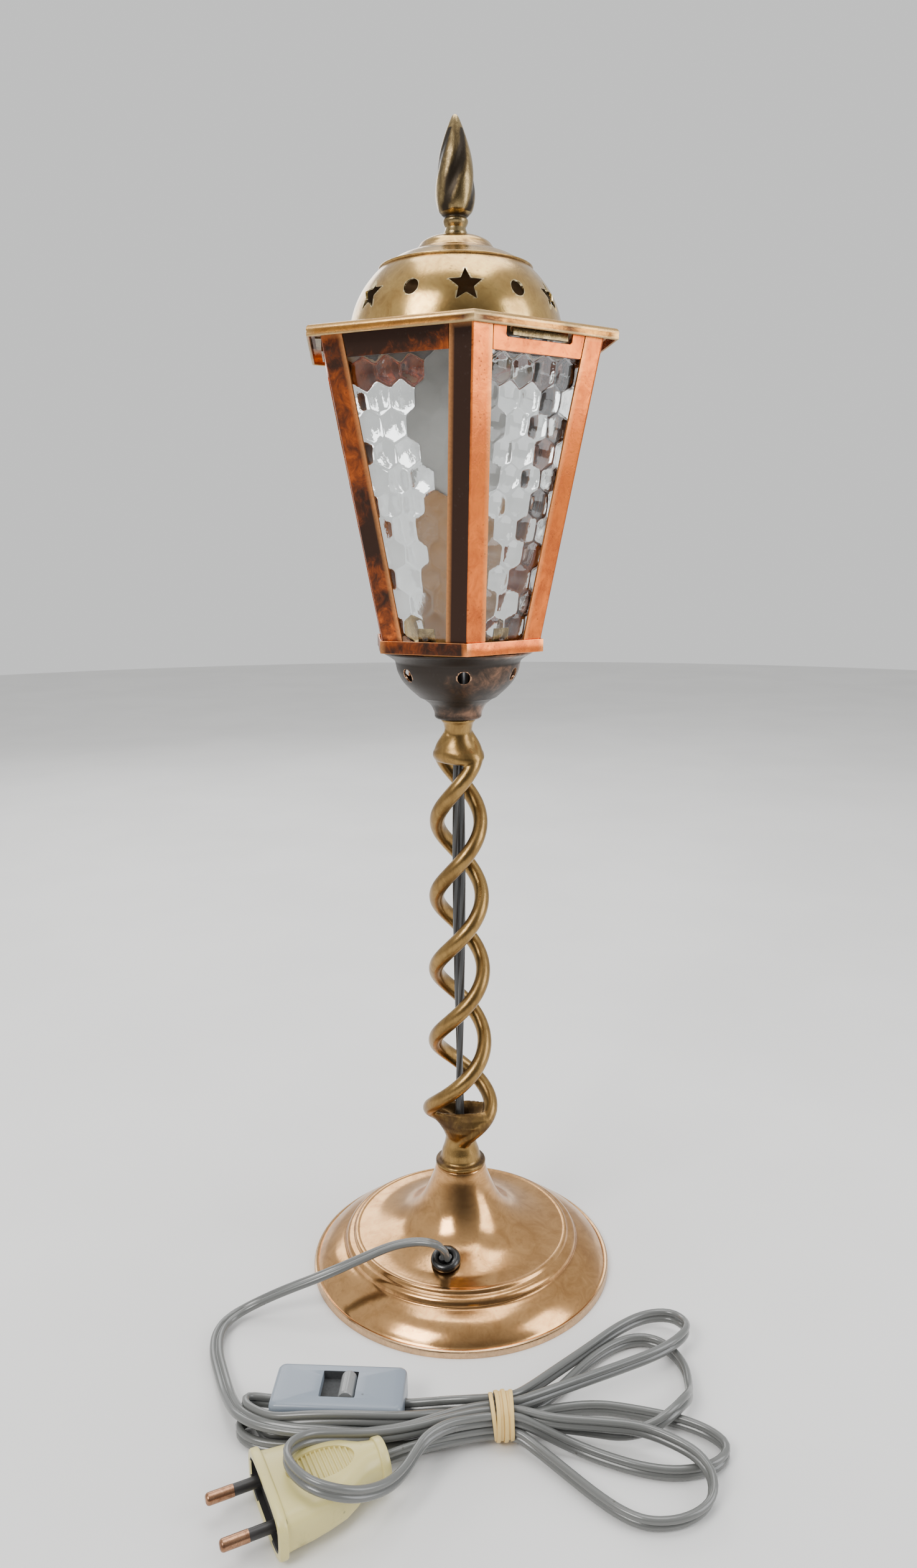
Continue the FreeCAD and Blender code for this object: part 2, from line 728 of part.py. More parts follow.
# ---- flex ----------------------------------------------------------------------------------------
def rounded_path(points, label):
    """Straight runs joined by tangent arcs, each as large as its two runs allow."""
    edges = []
    radii = []
    here = points[0]
    for before, corner, after in zip(points, points[1:], points[2:]):
        run_in = corner - before
        run_out = after - corner
        half_turn = run_in.getAngle(run_out) / 2
        trim = 0.45 * min(run_in.Length, run_out.Length)
        radii.append(trim / math.tan(half_turn))
        start = corner - run_in.normalize() * trim
        finish = corner + run_out.normalize() * trim
        inward = (start + finish) * 0.5 - corner
        to_centre = radii[-1] / math.cos(half_turn)
        middle = corner + inward.normalize() * (to_centre - radii[-1])
        edges.append(Part.LineSegment(here, start).toShape())
        edges.append(Part.Arc(start, middle, finish).toShape())
        here = finish
    edges.append(Part.LineSegment(here, points[-1]).toShape())
    print(label, "radii", [round(r, 1) for r in radii])
    return Part.Wire(edges)


def flex_tube(points, label):
    """Round tube as wide as the flat twin flex, along a rounded path."""
    path = rounded_path([V(*p) for p in points], label)
    heading = V(*points[1]) - V(*points[0])
    section = Part.Wire(Part.Circle(V(*points[0]), heading, flex_radius).toShape())
    tube = path.makePipeShell([section], True, True)
    expected = math.pi * flex_radius ** 2 * path.Length
    print(label, "length", round(path.Length, 1), "volume ratio", round(tube.Volume / expected, 4))
    return tube.Solids[0]


def inner_flex():
    """The flex inside the lamp: grommet, foot, stem's open twist, nipples, lampholder."""
    base, lean = grommet_frame()
    mouth = base + lean * grommet_height * 0.8
    turn = base - lean * 7.2
    points = [tuple(mouth), tuple(turn), (-2.6, -9.0, turn.z + 3.6), (0, 0, turn.z + 19.5),
              (0, 0, holder_bottom + 7)]
    return flex_tube(points, "inner_flex")


def flex_lead():
    """From the grommet over the foot's edge to the floor and round to the hank."""
    base, lean = grommet_frame()
    mouth = base + lean * grommet_height * 0.8
    points = [tuple(mouth), tuple(mouth + lean * 4.7), (-13.4, -32.3, 28.9), (-21, -29.2, 28.6),
              (-32, -29, 27), (-44.5, -32, 23.8), (-60, -34.5, 19), (-77, -33, 12), (-90, -31.5, 5.2),
              (-98.5, -35.5, 3), (-102, -44, 3), (-101.5, -55, 3), (-98, -67, 3), (-94.5, -81, 3.4)]
    return flex_tube(points, "flex_lead")


def flex_front_loop():
    """The loose loop that springs out of the bundle and lies over the plug."""
    points = [(-11, -110.5, 11), (-19, -120.5, 13), (-27, -131, 16), (-38, -140, 20), (-51, -144.5, 21.8),
              (-63, -141.5, 21.8), (-70, -132.5, 21.8), (-69, -122.5, 21), (-60, -115.5, 19.5),
              (-49, -110, 15.5)]
    return flex_tube(points, "flex_front_loop")


def flex_plug_lead():
    """The last stretch of flex, from the bundle into the plug."""
    tail = plug_point(plug_length, 0, 0)
    points = [tuple(tail), tuple(plug_point(plug_length + 10, 0, 0)), (-16.5, -111, 8)]
    return flex_tube(points, "flex_plug_lead")


def flex_hank():
    """Outer shape of the tied hank: bundle beside the switch, waist in the band, fanned loops."""
    def switch_corner_point(x, y):
        turn = FreeCAD.Rotation(UP, switch_angle)
        return switch_centre + turn.multVec(V(x, y, 0))

    half_length = switch_length / 2
    half_width = switch_width / 2
    gap = 0.4
    bundle = [switch_corner_point(-half_length, 3.5), V(-84, -80, 0), V(-98, -80, 0), V(-98.5, -86, 0),
              V(-93, -95, 0), V(-84, -104, 0), V(-72, -109.5, 0), V(-60, -112.2, 0), V(-10, -112.2, 0),
              V(-10, -97.5, 0), V(-17, -93, 0), switch_corner_point(half_length, 3.2),
              switch_corner_point(half_length, -3.6), switch_corner_point(half_length + gap, -5),
              switch_corner_point(half_length + gap, -half_width - gap),
              switch_corner_point(-half_length - gap, -half_width - gap),
              switch_corner_point(-half_length - gap, -4.5), switch_corner_point(-half_length, -3.5)]
    fan = [(14, -98), (30, -84), (45, -70), (58, -60), (72, -53), (82, -53.5), (87, -62), (83, -77),
           (80, -92), (80, -108), (85, -120), (83, -129), (75, -139), (70, -147), (60, -152),
           (46, -152), (34, -142), (22, -126), (14, -112)]
    low = V(0, 0, floor_clearance)
    arm = Part.Face(Part.makePolygon([p + low for p in bundle + bundle[:1]])).extrude(V(0, 0, 15.4))
    lobe_points = [V(x, y, 0) + low for x, y in fan]
    lobe = Part.Face(Part.makePolygon(lobe_points + lobe_points[:1])).extrude(V(0, 0, 8.0))
    waist = Part.makeCylinder(bundle_radius, 34, V(-12, bundle_y, bundle_height()), V(1, 0, 0))
    return arm.fuse([waist, lobe]).removeSplitter().Solids[0]


def bundle_height():
    """Height of the tied bundle's middle, so that the band around it clears the floor."""
    return bundle_radius + band_wall + floor_clearance


def rubber_band():
    """Rubber band wound round the middle of the hank."""
    start = V(band_start, bundle_y, bundle_height())
    outer = Part.makeCylinder(bundle_radius + band_wall, band_width, start, V(1, 0, 0))
    return outer.cut(Part.makeCylinder(bundle_radius, band_width, start, V(1, 0, 0)))


# ---- switch --------------------------------------------------------------------------------------
def switch_block(low, high, inset):
    """Round-cornered block of the switch's outline, inset on all sides."""
    length = switch_length - 2 * inset
    width = switch_width - 2 * inset
    block = Part.makeBox(length, width, high - low, V(-length / 2, -width / 2, low))
    upright = [e for e in block.Edges if abs(e.Vertexes[0].Z - e.Vertexes[1].Z) > 0.1]
    return block.makeFillet(max(switch_corner - inset, 0.6), upright)


def flex_entry():
    """Round passage for the flex through both ends of the switch."""
    return Part.makeCylinder(flex_radius + 0.1, switch_length + 4,
                             V(-switch_length / 2 - 2, 0, switch_split), V(1, 0, 0))


def switch_base():
    low = floor_clearance
    shell = switch_block(low, switch_split, 0)
    shell = shell.cut(switch_block(low + switch_wall, switch_split + 1, switch_wall))
    return along_floor(shell.cut(flex_entry()).Solids[0], switch_centre, switch_angle)


def switch_cover():
    """Upper half of the switch with the slider's window."""
    shell = switch_block(switch_split, switch_height, 0)
    top_edges = [e for e in shell.Edges if min(v.Z for v in e.Vertexes) > switch_height - 0.01]
    shell = shell.makeFillet(1.2, top_edges)
    shell = shell.cut(switch_block(switch_split - 1, switch_height - switch_wall, switch_wall))
    window = Part.makeBox(window_length, window_width, 6,
                          V(-window_length / 2, -window_width / 2, switch_height - 4))
    return along_floor(shell.cut(window).cut(flex_entry()).Solids[0], switch_centre, switch_angle)


def switch_slider():
    """Slider: a carrier plate under the cover and a half-round knob in the window."""
    top = switch_height - switch_wall - 0.3
    plate_length = window_length + slider_travel + 2.0
    right = window_length / 2 - 0.35
    plate = Part.makeBox(plate_length, window_width + 2.4, 1.2,
                         V(right + 1.2 - plate_length + 1.0, -window_width / 2 - 1.2, top - 1.2))
    radius = knob_length / 2
    knob = Part.makeCylinder(radius, knob_width, V(right - radius, -knob_width / 2, 0), V(0, 1, 0))
    knob.translate(V(0, 0, switch_height + knob_proud - radius))
    stem_box = Part.makeBox(knob_length, knob_width, switch_height + knob_proud - radius - top + 0.6,
                            V(right - knob_length, -knob_width / 2, top - 0.6))
    slider = plate.fuse([knob, stem_box]).removeSplitter()
    return along_floor(slider.Solids[0], switch_centre, switch_angle)


def switch_contacts():
    """Two brass contact strips on the switch's floor."""
    low = floor_clearance + switch_wall
    strips = [Part.makeBox(12, 3, 0.6, V(x, -7.5, low)) for x in (-14, 2)]
    return [along_floor(s, switch_centre, switch_angle) for s in strips]


def switch_screw():
    """Screw post that closes the switch from below."""
    low = floor_clearance + switch_wall
    beside = -switch_length / 2 + switch_wall + 1.65
    post_solid = cylinder(1.5, low, switch_height - switch_wall, beside, 6.0)
    return along_floor(post_solid, switch_centre, switch_angle)


# ---- plug ----------------------------------------------------------------------------------------
def plug_point(back, side, up):
    """Point in the plug's own directions: back from the flange, sideways and up."""
    turn = FreeCAD.Rotation(UP, plug_angle)
    return plug_centre + turn.multVec(V(-back, side, up))


def stadium(back, half_width, half_height):
    """Upright oval section of the plug, a given distance behind its front face."""
    flat = max(half_width - half_height, 0.2)
    corners = [(-flat, -half_height), (flat, -half_height), (flat, half_height), (-flat, half_height)]
    low_left, low_right, high_right, high_left = [plug_point(back, y, z) for y, z in corners]
    right = plug_point(back, flat + half_height, 0)
    left = plug_point(back, -flat - half_height, 0)
    return Part.Wire([Part.LineSegment(low_left, low_right).toShape(),
                      Part.Arc(low_right, right, high_right).toShape(),
                      Part.LineSegment(high_right, high_left).toShape(),
                      Part.Arc(high_left, left, low_left).toShape()])


def plug_body():
    """Moulded plug: oval flange, waisted grip and a round tail with a rim."""
    w = plug_flange_half_width
    h = plug_flange_half_height
    stations = [(3.2, w - 1.6, h - 0.8), (12, w - 2.2, h - 0.9), (24, w - 4.8, h - 1.1),
                (32, w - 10.0, h - 1.5), (34.5, w - 11.2, h - 1.7), (plug_length - 3, w - 11.6, h - 2.0)]
    grip = Part.makeLoft([stadium(*s) for s in stations], True, True)
    flange = Part.makeLoft([stadium(0, w, h), stadium(3.2, w, h)], True, True)
    tail = Part.makeLoft([stadium(plug_length - 3, w - 10.9, h - 1.3),
                          stadium(plug_length, w - 11.1, h - 1.5)], True, True)
    body = flange.fuse([grip, tail])
    recess = Part.makeLoft([stadium(-1, w - 2.4, h - 2.4), stadium(4.0, w - 2.4, h - 2.4)], True, True)
    body = body.cut(recess)
    for side in (-1, 1):
        hole = Part.makeCylinder(pin_radius - pin_sleeve_inset, 8.2,
                                 plug_point(3.8, side * pin_spacing / 2, 0),
                                 plug_point(1, 0, 0) - plug_point(0, 0, 0))
        body = body.cut(hole)
    return body.Solids[0]


def pin_cylinder(side, radius, front, back):
    """Cylinder on one pin's axis between two distances behind the flange's face."""
    backwards = plug_point(1, 0, 0) - plug_point(0, 0, 0)
    start = plug_point(front, side * pin_spacing / 2, 0)
    return Part.makeCylinder(radius, back - front, start, backwards)


def plug_face():
    """Black insulating face sunk in the flange."""
    w = plug_flange_half_width - 2.4
    h = plug_flange_half_height - 2.4
    face = Part.makeLoft([stadium(2.4, w, h), stadium(4.0, w, h)], True, True)
    for side in (-1, 1):
        face = face.cut(pin_cylinder(side, pin_radius - pin_sleeve_inset, 1, 6))
    return face.Solids[0]


def plug_pin(side):
    """Brass pin: a full tip, and a thinner shank inside the sleeve."""
    tip = pin_cylinder(side, pin_radius, -pin_reach, -pin_reach + pin_tip_length)
    end = [e for e in tip.Edges if (e.CenterOfMass - plug_point(-pin_reach, side * pin_spacing / 2, 0))
           .Length < 0.1]
    tip = tip.makeFillet(1.2, end)
    shank = pin_cylinder(side, pin_radius - 0.5, -pin_reach + pin_tip_length - 0.5, 12.0)
    return tip.fuse(shank).removeSplitter().Solids[0]


def plug_sleeves():
    """Black sleeves round the two pins' shanks."""
    sleeves = []
    for side in (-1, 1):
        front = -pin_reach + pin_tip_length
        solid = pin_cylinder(side, pin_radius - pin_sleeve_inset, front, 12.0)
        sleeves.append(solid.cut(pin_cylinder(side, pin_radius - 0.5, front - 1, 13.0)))
    return sleeves


# ---- build ---------------------------------------------------------------------------------------
os.makedirs("parts", exist_ok=True)
save("foot_shell", foot_shell())
save("foot_weight", foot_weight())
save("foot_base_plate", base_plate())
save("foot_felt", base_felt())
save("cord_grommet", grommet())
save("stem_twist", stem_twist())
save("lower_nipple", lower_nipple())
save("lower_washer", lower_washer())
save("lower_nut", lower_nut())
save("upper_nipple", upper_nipple())
save("upper_washer", upper_washer())
save("upper_nut", upper_nut())
save("lantern_cup", cup())
save("frame_base", frame_base())
for number in range(6):
    save("corner_post_%d" % (number + 1), post(number))
    save("glass_pane_%d" % (number + 1), glass_pane(number))
save("top_rails", *[rail(i) for i in range(6)])
save("frame_top_ring", top_ring())
save("pane_clips", *pane_clips())
save("roof_pan", roof_pan())
save("roof_tabs", *[roof_tab(i) for i in range(3)])
save("roof_dome", dome())
save("dome_rivets", *dome_rivets())
save("finial", finial())
save("finial_stud", finial_stud())
save("finial_washer", finial_washer())
save("finial_nut", finial_nut())
save("holder_base", holder_base())
save("holder_sleeve", holder_sleeve())
save("holder_core", holder_core())
save("holder_screw_shell", holder_screw_shell())
save("holder_contacts", holder_contact(), *holder_terminals())
save("bulb_cap", bulb_cap())
save("bulb_glass", bulb_glass())
save("inner_flex", inner_flex())
save("flex_lead", flex_lead())
save("flex_hank", flex_hank())
save("flex_front_loop", flex_front_loop())
save("flex_plug_lead", flex_plug_lead())
save("rubber_band", rubber_band())
save("switch_base", switch_base())
save("switch_cover", switch_cover())
save("switch_slider", switch_slider())
save("switch_contacts", *switch_contacts())
save("switch_screw", switch_screw())
save("plug_body", plug_body())
save("plug_face", plug_face())
save("plug_pins", plug_pin(-1), plug_pin(1))
save("plug_sleeves", *plug_sleeves())
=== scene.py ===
"""Electric table lamp: a six-sided lantern head on an open twisted stem, with its flex, switch and plug."""

import logging
import math
from dataclasses import dataclass
from enum import Enum
from typing import Callable, Optional, Sequence

import bmesh
import bpy
from mathutils import Matrix, Vector, noise


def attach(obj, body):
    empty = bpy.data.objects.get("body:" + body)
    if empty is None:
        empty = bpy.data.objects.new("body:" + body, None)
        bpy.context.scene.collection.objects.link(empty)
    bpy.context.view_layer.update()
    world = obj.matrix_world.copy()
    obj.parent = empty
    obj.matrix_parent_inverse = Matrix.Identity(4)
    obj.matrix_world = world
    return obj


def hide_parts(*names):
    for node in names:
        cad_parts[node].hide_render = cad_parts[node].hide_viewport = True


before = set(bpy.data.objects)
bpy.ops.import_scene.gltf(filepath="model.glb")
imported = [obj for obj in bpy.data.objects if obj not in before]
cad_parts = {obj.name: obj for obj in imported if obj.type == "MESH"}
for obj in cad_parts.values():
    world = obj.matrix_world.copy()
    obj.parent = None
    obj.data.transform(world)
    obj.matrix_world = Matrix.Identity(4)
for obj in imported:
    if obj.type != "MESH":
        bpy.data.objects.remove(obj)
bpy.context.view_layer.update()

MM = 0.001
COS30 = math.cos(math.radians(30))
TINY = 1e-6                    # lengths below this count as nothing
WELD = 1e-7                    # vertices this close, in metres, are one
SOFT_CORNER = math.radians(25)
SOOT = 2.2                     # patina value of a surface black with age
LOG = logging.getLogger("lamp")

Point2 = tuple[float, float]
Rgb = tuple[int, int, int]
Colour = tuple[float, float, float, float]


class Body(Enum):
    """The moving bodies of the frame."""

    LAMP = "lamp"
    ROOF = "roof"
    BULB = "bulb"
    SLIDER = "slider"


def colour(red: float, green: float, blue: float) -> Colour:
    """A shader colour from display values between 0 and 255.

    Args:
        red, green, blue: display values.

    Returns:
        The linear colour with full alpha.
    """
    def linear(value: float) -> float:
        """One channel on the linear scale."""
        v = value / 255
        return v / 12.92 if v <= 0.04045 else ((v + 0.055) / 1.055) ** 2.4

    return (linear(red), linear(green), linear(blue), 1.0)


# ---- shader building ----------------------------------------------------------------------------
class Wire:
    """One output socket; arithmetic on it adds Math nodes."""

    def __init__(self, graph: "Graph", socket: bpy.types.NodeSocket) -> None:
        """Keeps the graph that new nodes go into, and the socket."""
        self.graph = graph
        self.socket = socket

    def maths(self, operation: str, *operands: "Wire | float", clamp: bool = False) -> "Wire":
        """A Math node on the given operands.

        Args:
            operation: the Math node's operation.
            operands: wires or numbers, in the node's order.
            clamp: whether the result is held between 0 and 1.

        Returns:
            The node's result.
        """
        return self.graph.wire("ShaderNodeMath", {"operation": operation, "use_clamp": clamp},
                               dict(enumerate(operands)))

    def __add__(self, other: "Wire | float") -> "Wire":
        """Sum."""
        return self.maths("ADD", self, other)

    def __radd__(self, other: float) -> "Wire":
        """Sum with a number on the left."""
        return self.maths("ADD", other, self)

    def __sub__(self, other: "Wire | float") -> "Wire":
        """Difference."""
        return self.maths("SUBTRACT", self, other)

    def __rsub__(self, other: float) -> "Wire":
        """Difference from a number on the left."""
        return self.maths("SUBTRACT", other, self)

    def __mul__(self, other: "Wire | float") -> "Wire":
        """Product."""
        return self.maths("MULTIPLY", self, other)

    def clamped(self) -> "Wire":
        """The value held between 0 and 1."""
        return self.maths("ADD", self, 0.0, clamp=True)

    def step(self, low: float, high: float) -> "Wire":
        """A smooth rise from 0 at low to 1 at high."""
        return self.graph.wire("ShaderNodeMapRange", {"interpolation_type": "SMOOTHSTEP"},
                               {"Value": self, "From Min": low, "From Max": high})


class Graph:
    """Node tree of one new material."""

    def __init__(self, name: str) -> None:
        """Starts an empty tree whose patterns sit still on the object."""
        self.material = bpy.data.materials.new(name)
        self.material.use_nodes = True
        self.tree = self.material.node_tree
        self.tree.nodes.clear()
        self.place = self.wire("ShaderNodeTexCoord", output="Object")

    def node(self, kind: str, settings: Optional[dict] = None,
             inputs: Optional[dict] = None) -> bpy.types.Node:
        """Adds a node.

        Args:
            kind: the node's type.
            settings: its own settings, which are set first.
            inputs: values or wires by socket name or number.

        Returns:
            The node.
        """
        made = self.tree.nodes.new(kind)
        for key, value in (settings or {}).items():
            setattr(made, key, value)
        for key, value in (inputs or {}).items():
            if isinstance(value, Wire):
                self.tree.links.new(value.socket, made.inputs[key])
            else:
                made.inputs[key].default_value = value
        return made

    def wire(self, kind: str, settings: Optional[dict] = None, inputs: Optional[dict] = None,
             output: int | str = 0) -> Wire:
        """Adds a node and returns one of its outputs."""
        return Wire(self, self.node(kind, settings, inputs).outputs[output])

    def stretched(self, x: float, y: float, z: float) -> Wire:
        """The object's coordinates multiplied by a number each way."""
        return self.wire("ShaderNodeVectorMath", {"operation": "MULTIPLY"}, {0: self.place, 1: (x, y, z)})

    def noise(self, scale: float, detail: float = 3.0, rough: float = 0.55, twist: float = 0.0,
              place: Optional[Wire] = None) -> Wire:
        """Cloudy noise around 0.5, with its scale in cycles per metre."""
        return self.wire("ShaderNodeTexNoise", None,
                         {"Vector": place or self.place, "Scale": scale, "Detail": detail,
                          "Roughness": rough, "Distortion": twist})

    def cells(self, scale: float) -> Wire:
        """Distance pattern of scattered cells, with its scale in cells per metre."""
        return self.wire("ShaderNodeTexVoronoi", {"feature": "F1"}, {"Vector": self.place, "Scale": scale})

    def attribute(self, name: str) -> Wire:
        """A value stored on the mesh's vertices."""
        return self.wire("ShaderNodeAttribute", {"attribute_name": name}, output="Fac")

    def mix(self, mask: "Wire | float", low: "Wire | Colour", high: "Wire | Colour") -> Wire:
        """Colour mix from low to high by the mask."""
        return self.wire("ShaderNodeMix", {"data_type": "RGBA", "blend_type": "MIX"},
                         {0: mask, 6: low, 7: high}, output=2)

    def bump(self, height: Wire, depth: float) -> Wire:
        """Normal from a height pattern whose full range is the given depth in metres."""
        return self.wire("ShaderNodeBump", None, {"Height": height, "Distance": depth, "Strength": 1.0})

    def finish(self, **inputs: "Wire | float | Colour") -> bpy.types.Material:
        """Ends the tree in a Principled surface.

        Args:
            inputs: its sockets by name, with underscores for spaces.

        Returns:
            The material.
        """
        named = {key.replace("_", " "): value for key, value in inputs.items()}
        if "IOR Level" in named:
            named["Specular IOR Level"] = named.pop("IOR Level")
        surface = self.wire("ShaderNodeBsdfPrincipled", None, named)
        self.node("ShaderNodeOutputMaterial", None, {"Surface": surface})
        return self.material


# ---- finishes -----------------------------------------------------------------------------------
@dataclass(frozen=True)
class AgedMetal:
    """Polished copper alloy with a clouded, spotted and edge-worn patina."""

    name: str
    bright: Rgb
    dull: Rgb
    stain: Rgb
    edge: Rgb
    gloss: float = 0.2             # roughness where clean
    matt: float = 0.42             # roughness where stained
    cloud: float = 38.0            # clouds per metre
    stain_from: float = 0.56       # lower means more stains
    spots: float = 0.5             # how dark the fine spots are
    streak: tuple[float, float, float] = (1.0, 1.0, 1.0)
    relief: float = 0.00012

    def make(self) -> bpy.types.Material:
        """Builds the material; vertex values "age" (patina and painted shade) and "wear" darken and brighten
        it.
        """
        g = Graph(self.name)
        age = g.attribute("age")
        wear = g.attribute("wear")
        drawn = g.stretched(*self.streak)
        clouds = g.noise(self.cloud, 5.0, 0.6, 0.4, drawn)
        veins = g.noise(self.cloud * 4.2, 6.0, 0.7, 0.9, drawn)
        fine = g.noise(self.cloud * 26, 3.0, 0.6)
        specks = 1.0 - g.cells(self.cloud * 14).step(0.10, 0.34)
        specks = specks * g.noise(self.cloud * 2.6, 2.0).step(0.46, 0.66)
        stained = (clouds * 0.62 + veins * 0.38 + age * 0.55).step(self.stain_from, self.stain_from + 0.26)
        dulled = (veins * 0.6 + clouds * 0.4 + age * 0.25).step(0.36, 0.66)
        spotted = (specks * (self.spots + age * 0.5)).clamped()
        stain = colour(*self.stain)
        tone = g.mix(dulled, colour(*self.bright), colour(*self.dull))
        tone = g.mix(stained, tone, stain)
        tone = g.mix(spotted * 0.8, tone, stain)
        tone = g.mix((wear * (0.55 + fine * 0.9)).clamped(), tone, colour(*self.edge))
        rough = self.gloss + (dulled * 0.35 + stained * 0.65) * (self.matt - self.gloss)
        rough = rough + spotted * 0.14 + (fine - 0.5) * 0.10
        height = clouds * 0.5 + veins * 0.25 + fine * 0.06 - spotted * 0.10
        return g.finish(Base_Color=tone, Metallic=1.0 - (stained * 0.22 + spotted * 0.25).clamped(),
                        Roughness=rough.clamped(), Normal=g.bump(height, self.relief))


@dataclass(frozen=True)
class Moulded:
    """Plastic or rubber with a fine moulded skin, scuffs and soiling."""

    name: str
    clean: Rgb
    soiled: Rgb
    rough: float = 0.42
    grain: float = 2600.0
    relief: float = 0.00004
    soil_from: float = 0.52
    coat: float = 0.0
    shine: float = 0.5

    def make(self) -> bpy.types.Material:
        """Builds the material; the vertex value "age" adds soiling."""
        g = Graph(self.name)
        cloud = g.noise(55, 5.0, 0.62, 0.5)
        scuff = g.noise(260, 4.0, 0.7, place=g.stretched(1.0, 0.25, 0.6))
        fine = g.noise(self.grain, 2.0)
        dirt = cloud * 0.7 + scuff * 0.3 + g.attribute("age") * 0.5
        soil = dirt.step(self.soil_from, self.soil_from + 0.28)
        dots = (1.0 - g.cells(240).step(0.05, 0.14)) * g.noise(90, 2.0).step(0.56, 0.66)
        tone = g.mix(soil, colour(*self.clean), colour(*self.soiled))
        tone = g.mix(dots * 0.6, tone, colour(60, 52, 40))
        rough = self.rough + soil * 0.14 + (scuff - 0.5) * 0.12
        return g.finish(Base_Color=tone, Roughness=rough.clamped(), Coat_Weight=self.coat, Coat_Roughness=0.2,
                        IOR_Level=self.shine, Normal=g.bump(fine * 0.4 + scuff * 0.6, self.relief))


@dataclass(frozen=True)
class Glass:
    """Clear pressed glass with faint seeds, or a frosted bulb."""

    name: str
    tint: Colour
    rough: float
    clear: float = 1.0

    def make(self) -> bpy.types.Material:
        """Builds the material."""
        g = Graph(self.name)
        wave = g.noise(120, 3.0, 0.5)
        fine = g.noise(900, 2.0, 0.5)
        rough = self.rough + wave * self.rough * 0.6
        tone = g.mix(wave.step(0.4, 0.7), self.tint, tuple(0.94 * c for c in self.tint[:3]) + (1.0,))
        return g.finish(Base_Color=tone, Roughness=rough, IOR=1.47, Transmission_Weight=self.clear,
                        Normal=g.bump(wave * 0.8 + fine * 0.2, 0.00006))


@dataclass(frozen=True)
class Pressed:
    """Felt, fibre board, ceramic or cast iron: a matt body with grain."""

    name: str
    light: Rgb
    dark: Rgb
    rough: float
    grain: float
    relief: float
    metallic: float = 0.0

    def make(self) -> bpy.types.Material:
        """Builds the material."""
        g = Graph(self.name)
        coarse = g.noise(self.grain * 0.12, 5.0, 0.65, 0.4)
        fine = g.noise(self.grain, 4.0, 0.7)
        grained = (coarse * 0.6 + fine * 0.4).step(0.35, 0.66)
        tone = g.mix(grained, colour(*self.light), colour(*self.dark))
        rough = (self.rough + (fine - 0.5) * 0.2).clamped()
        return g.finish(Base_Color=tone, Metallic=self.metallic, Roughness=rough,
                        Normal=g.bump(fine * 0.7 + coarse * 0.3, self.relief))


CLEAN_STEEL = AgedMetal("steel_zinc_plated", (178, 180, 182), (150, 150, 150), (96, 88, 80),
                        (205, 206, 208), 0.28, 0.5, 60, 0.66, 0.3)
FOOT_BRASS = AgedMetal("foot_rosy_brass", (210, 162, 108), (176, 130, 82), (122, 84, 52),
                       (240, 205, 165), 0.15, 0.33, 30, 0.60, 0.32, (1.0, 1.0, 1.5))
STEM_BRASS = AgedMetal("stem_cast_brass", (160, 128, 78), (128, 100, 60), (74, 54, 34),
                       (216, 184, 118), 0.27, 0.46, 60, 0.58, 0.35, (1.0, 1.0, 0.45), 0.00022)
CUP_COPPER = AgedMetal("cup_dark_copper", (150, 112, 90), (100, 82, 70), (52, 46, 42),
                       (206, 160, 124), 0.22, 0.42, 34, 0.42, 0.45)
FRAME_COPPER = AgedMetal("frame_copper", (236, 124, 54), (184, 92, 46), (54, 36, 28),
                         (250, 170, 104), 0.2, 0.45, 46, 0.64, 0.6, (1.0, 1.0, 0.8), 0.00016)
ROOF_BRASS = AgedMetal("roof_brass", (222, 156, 76), (168, 112, 54), (80, 48, 28),
                       (248, 214, 150), 0.2, 0.42, 60, 0.58, 0.6, (0.7, 0.7, 2.0))
DOME_BRASS = AgedMetal("dome_spun_brass", (204, 168, 104), (166, 130, 76), (90, 66, 40),
                       (240, 220, 172), 0.17, 0.4, 34, 0.56, 0.4)
FINIAL_BRASS = AgedMetal("finial_cast_brass", (168, 146, 104), (112, 94, 64), (46, 38, 28),
                         (222, 206, 166), 0.22, 0.44, 70, 0.52, 0.4, (1.0, 1.0, 0.5), 0.0003)
CONTACT_BRASS = AgedMetal("contact_brass", (212, 180, 112), (190, 156, 92), (120, 92, 52),
                          (232, 206, 146), 0.24, 0.42, 80, 0.64, 0.3)
PIN_BRASS = AgedMetal("plug_pin_brass", (176, 134, 104), (136, 98, 74), (70, 50, 42),
                      (210, 170, 134), 0.26, 0.46, 150, 0.5, 0.5, (1.0, 1.0, 1.0), 0.0001)
CAP_METAL = AgedMetal("bulb_cap_metal", (206, 202, 190), (180, 176, 164), (120, 112, 100),
                      (226, 224, 216), 0.26, 0.44, 80, 0.66, 0.3)
FLEX_GREY = Moulded("flex_grey_pvc", (102, 103, 101), (78, 75, 66), 0.24, 1800, 0.00003, 0.56, 0.25, 0.6)
FLEX_DARK = Moulded("flex_inner_grey", (58, 58, 58), (40, 39, 38), 0.32, 1800, 0.00003, 0.56, 0.2)
SWITCH_GREY = Moulded("switch_silver_grey", (128, 138, 150), (98, 105, 114), 0.3, 2400, 0.00004,
                      0.58, 0.2, 0.5)
KNOB_GREY = Moulded("switch_knob_grey", (132, 134, 134), (98, 98, 96), 0.26, 2000, 0.00003, 0.56, 0.3)
PLUG_CREAM = Moulded("plug_aged_cream", (212, 199, 132), (160, 145, 88), 0.34, 1500, 0.00005, 0.56, 0.2)
PLUG_BLACK = Moulded("plug_black_plastic", (42, 40, 40), (62, 58, 54), 0.38, 1800)
GROMMET_BLACK = Moulded("grommet_black_rubber", (20, 20, 20), (34, 33, 31), 0.26, 1500, 0.00003,
                        0.55, 0.3)
BAND_TAN = Moulded("band_tan_rubber", (230, 196, 124), (196, 158, 88), 0.5, 900, 0.00008, 0.54)
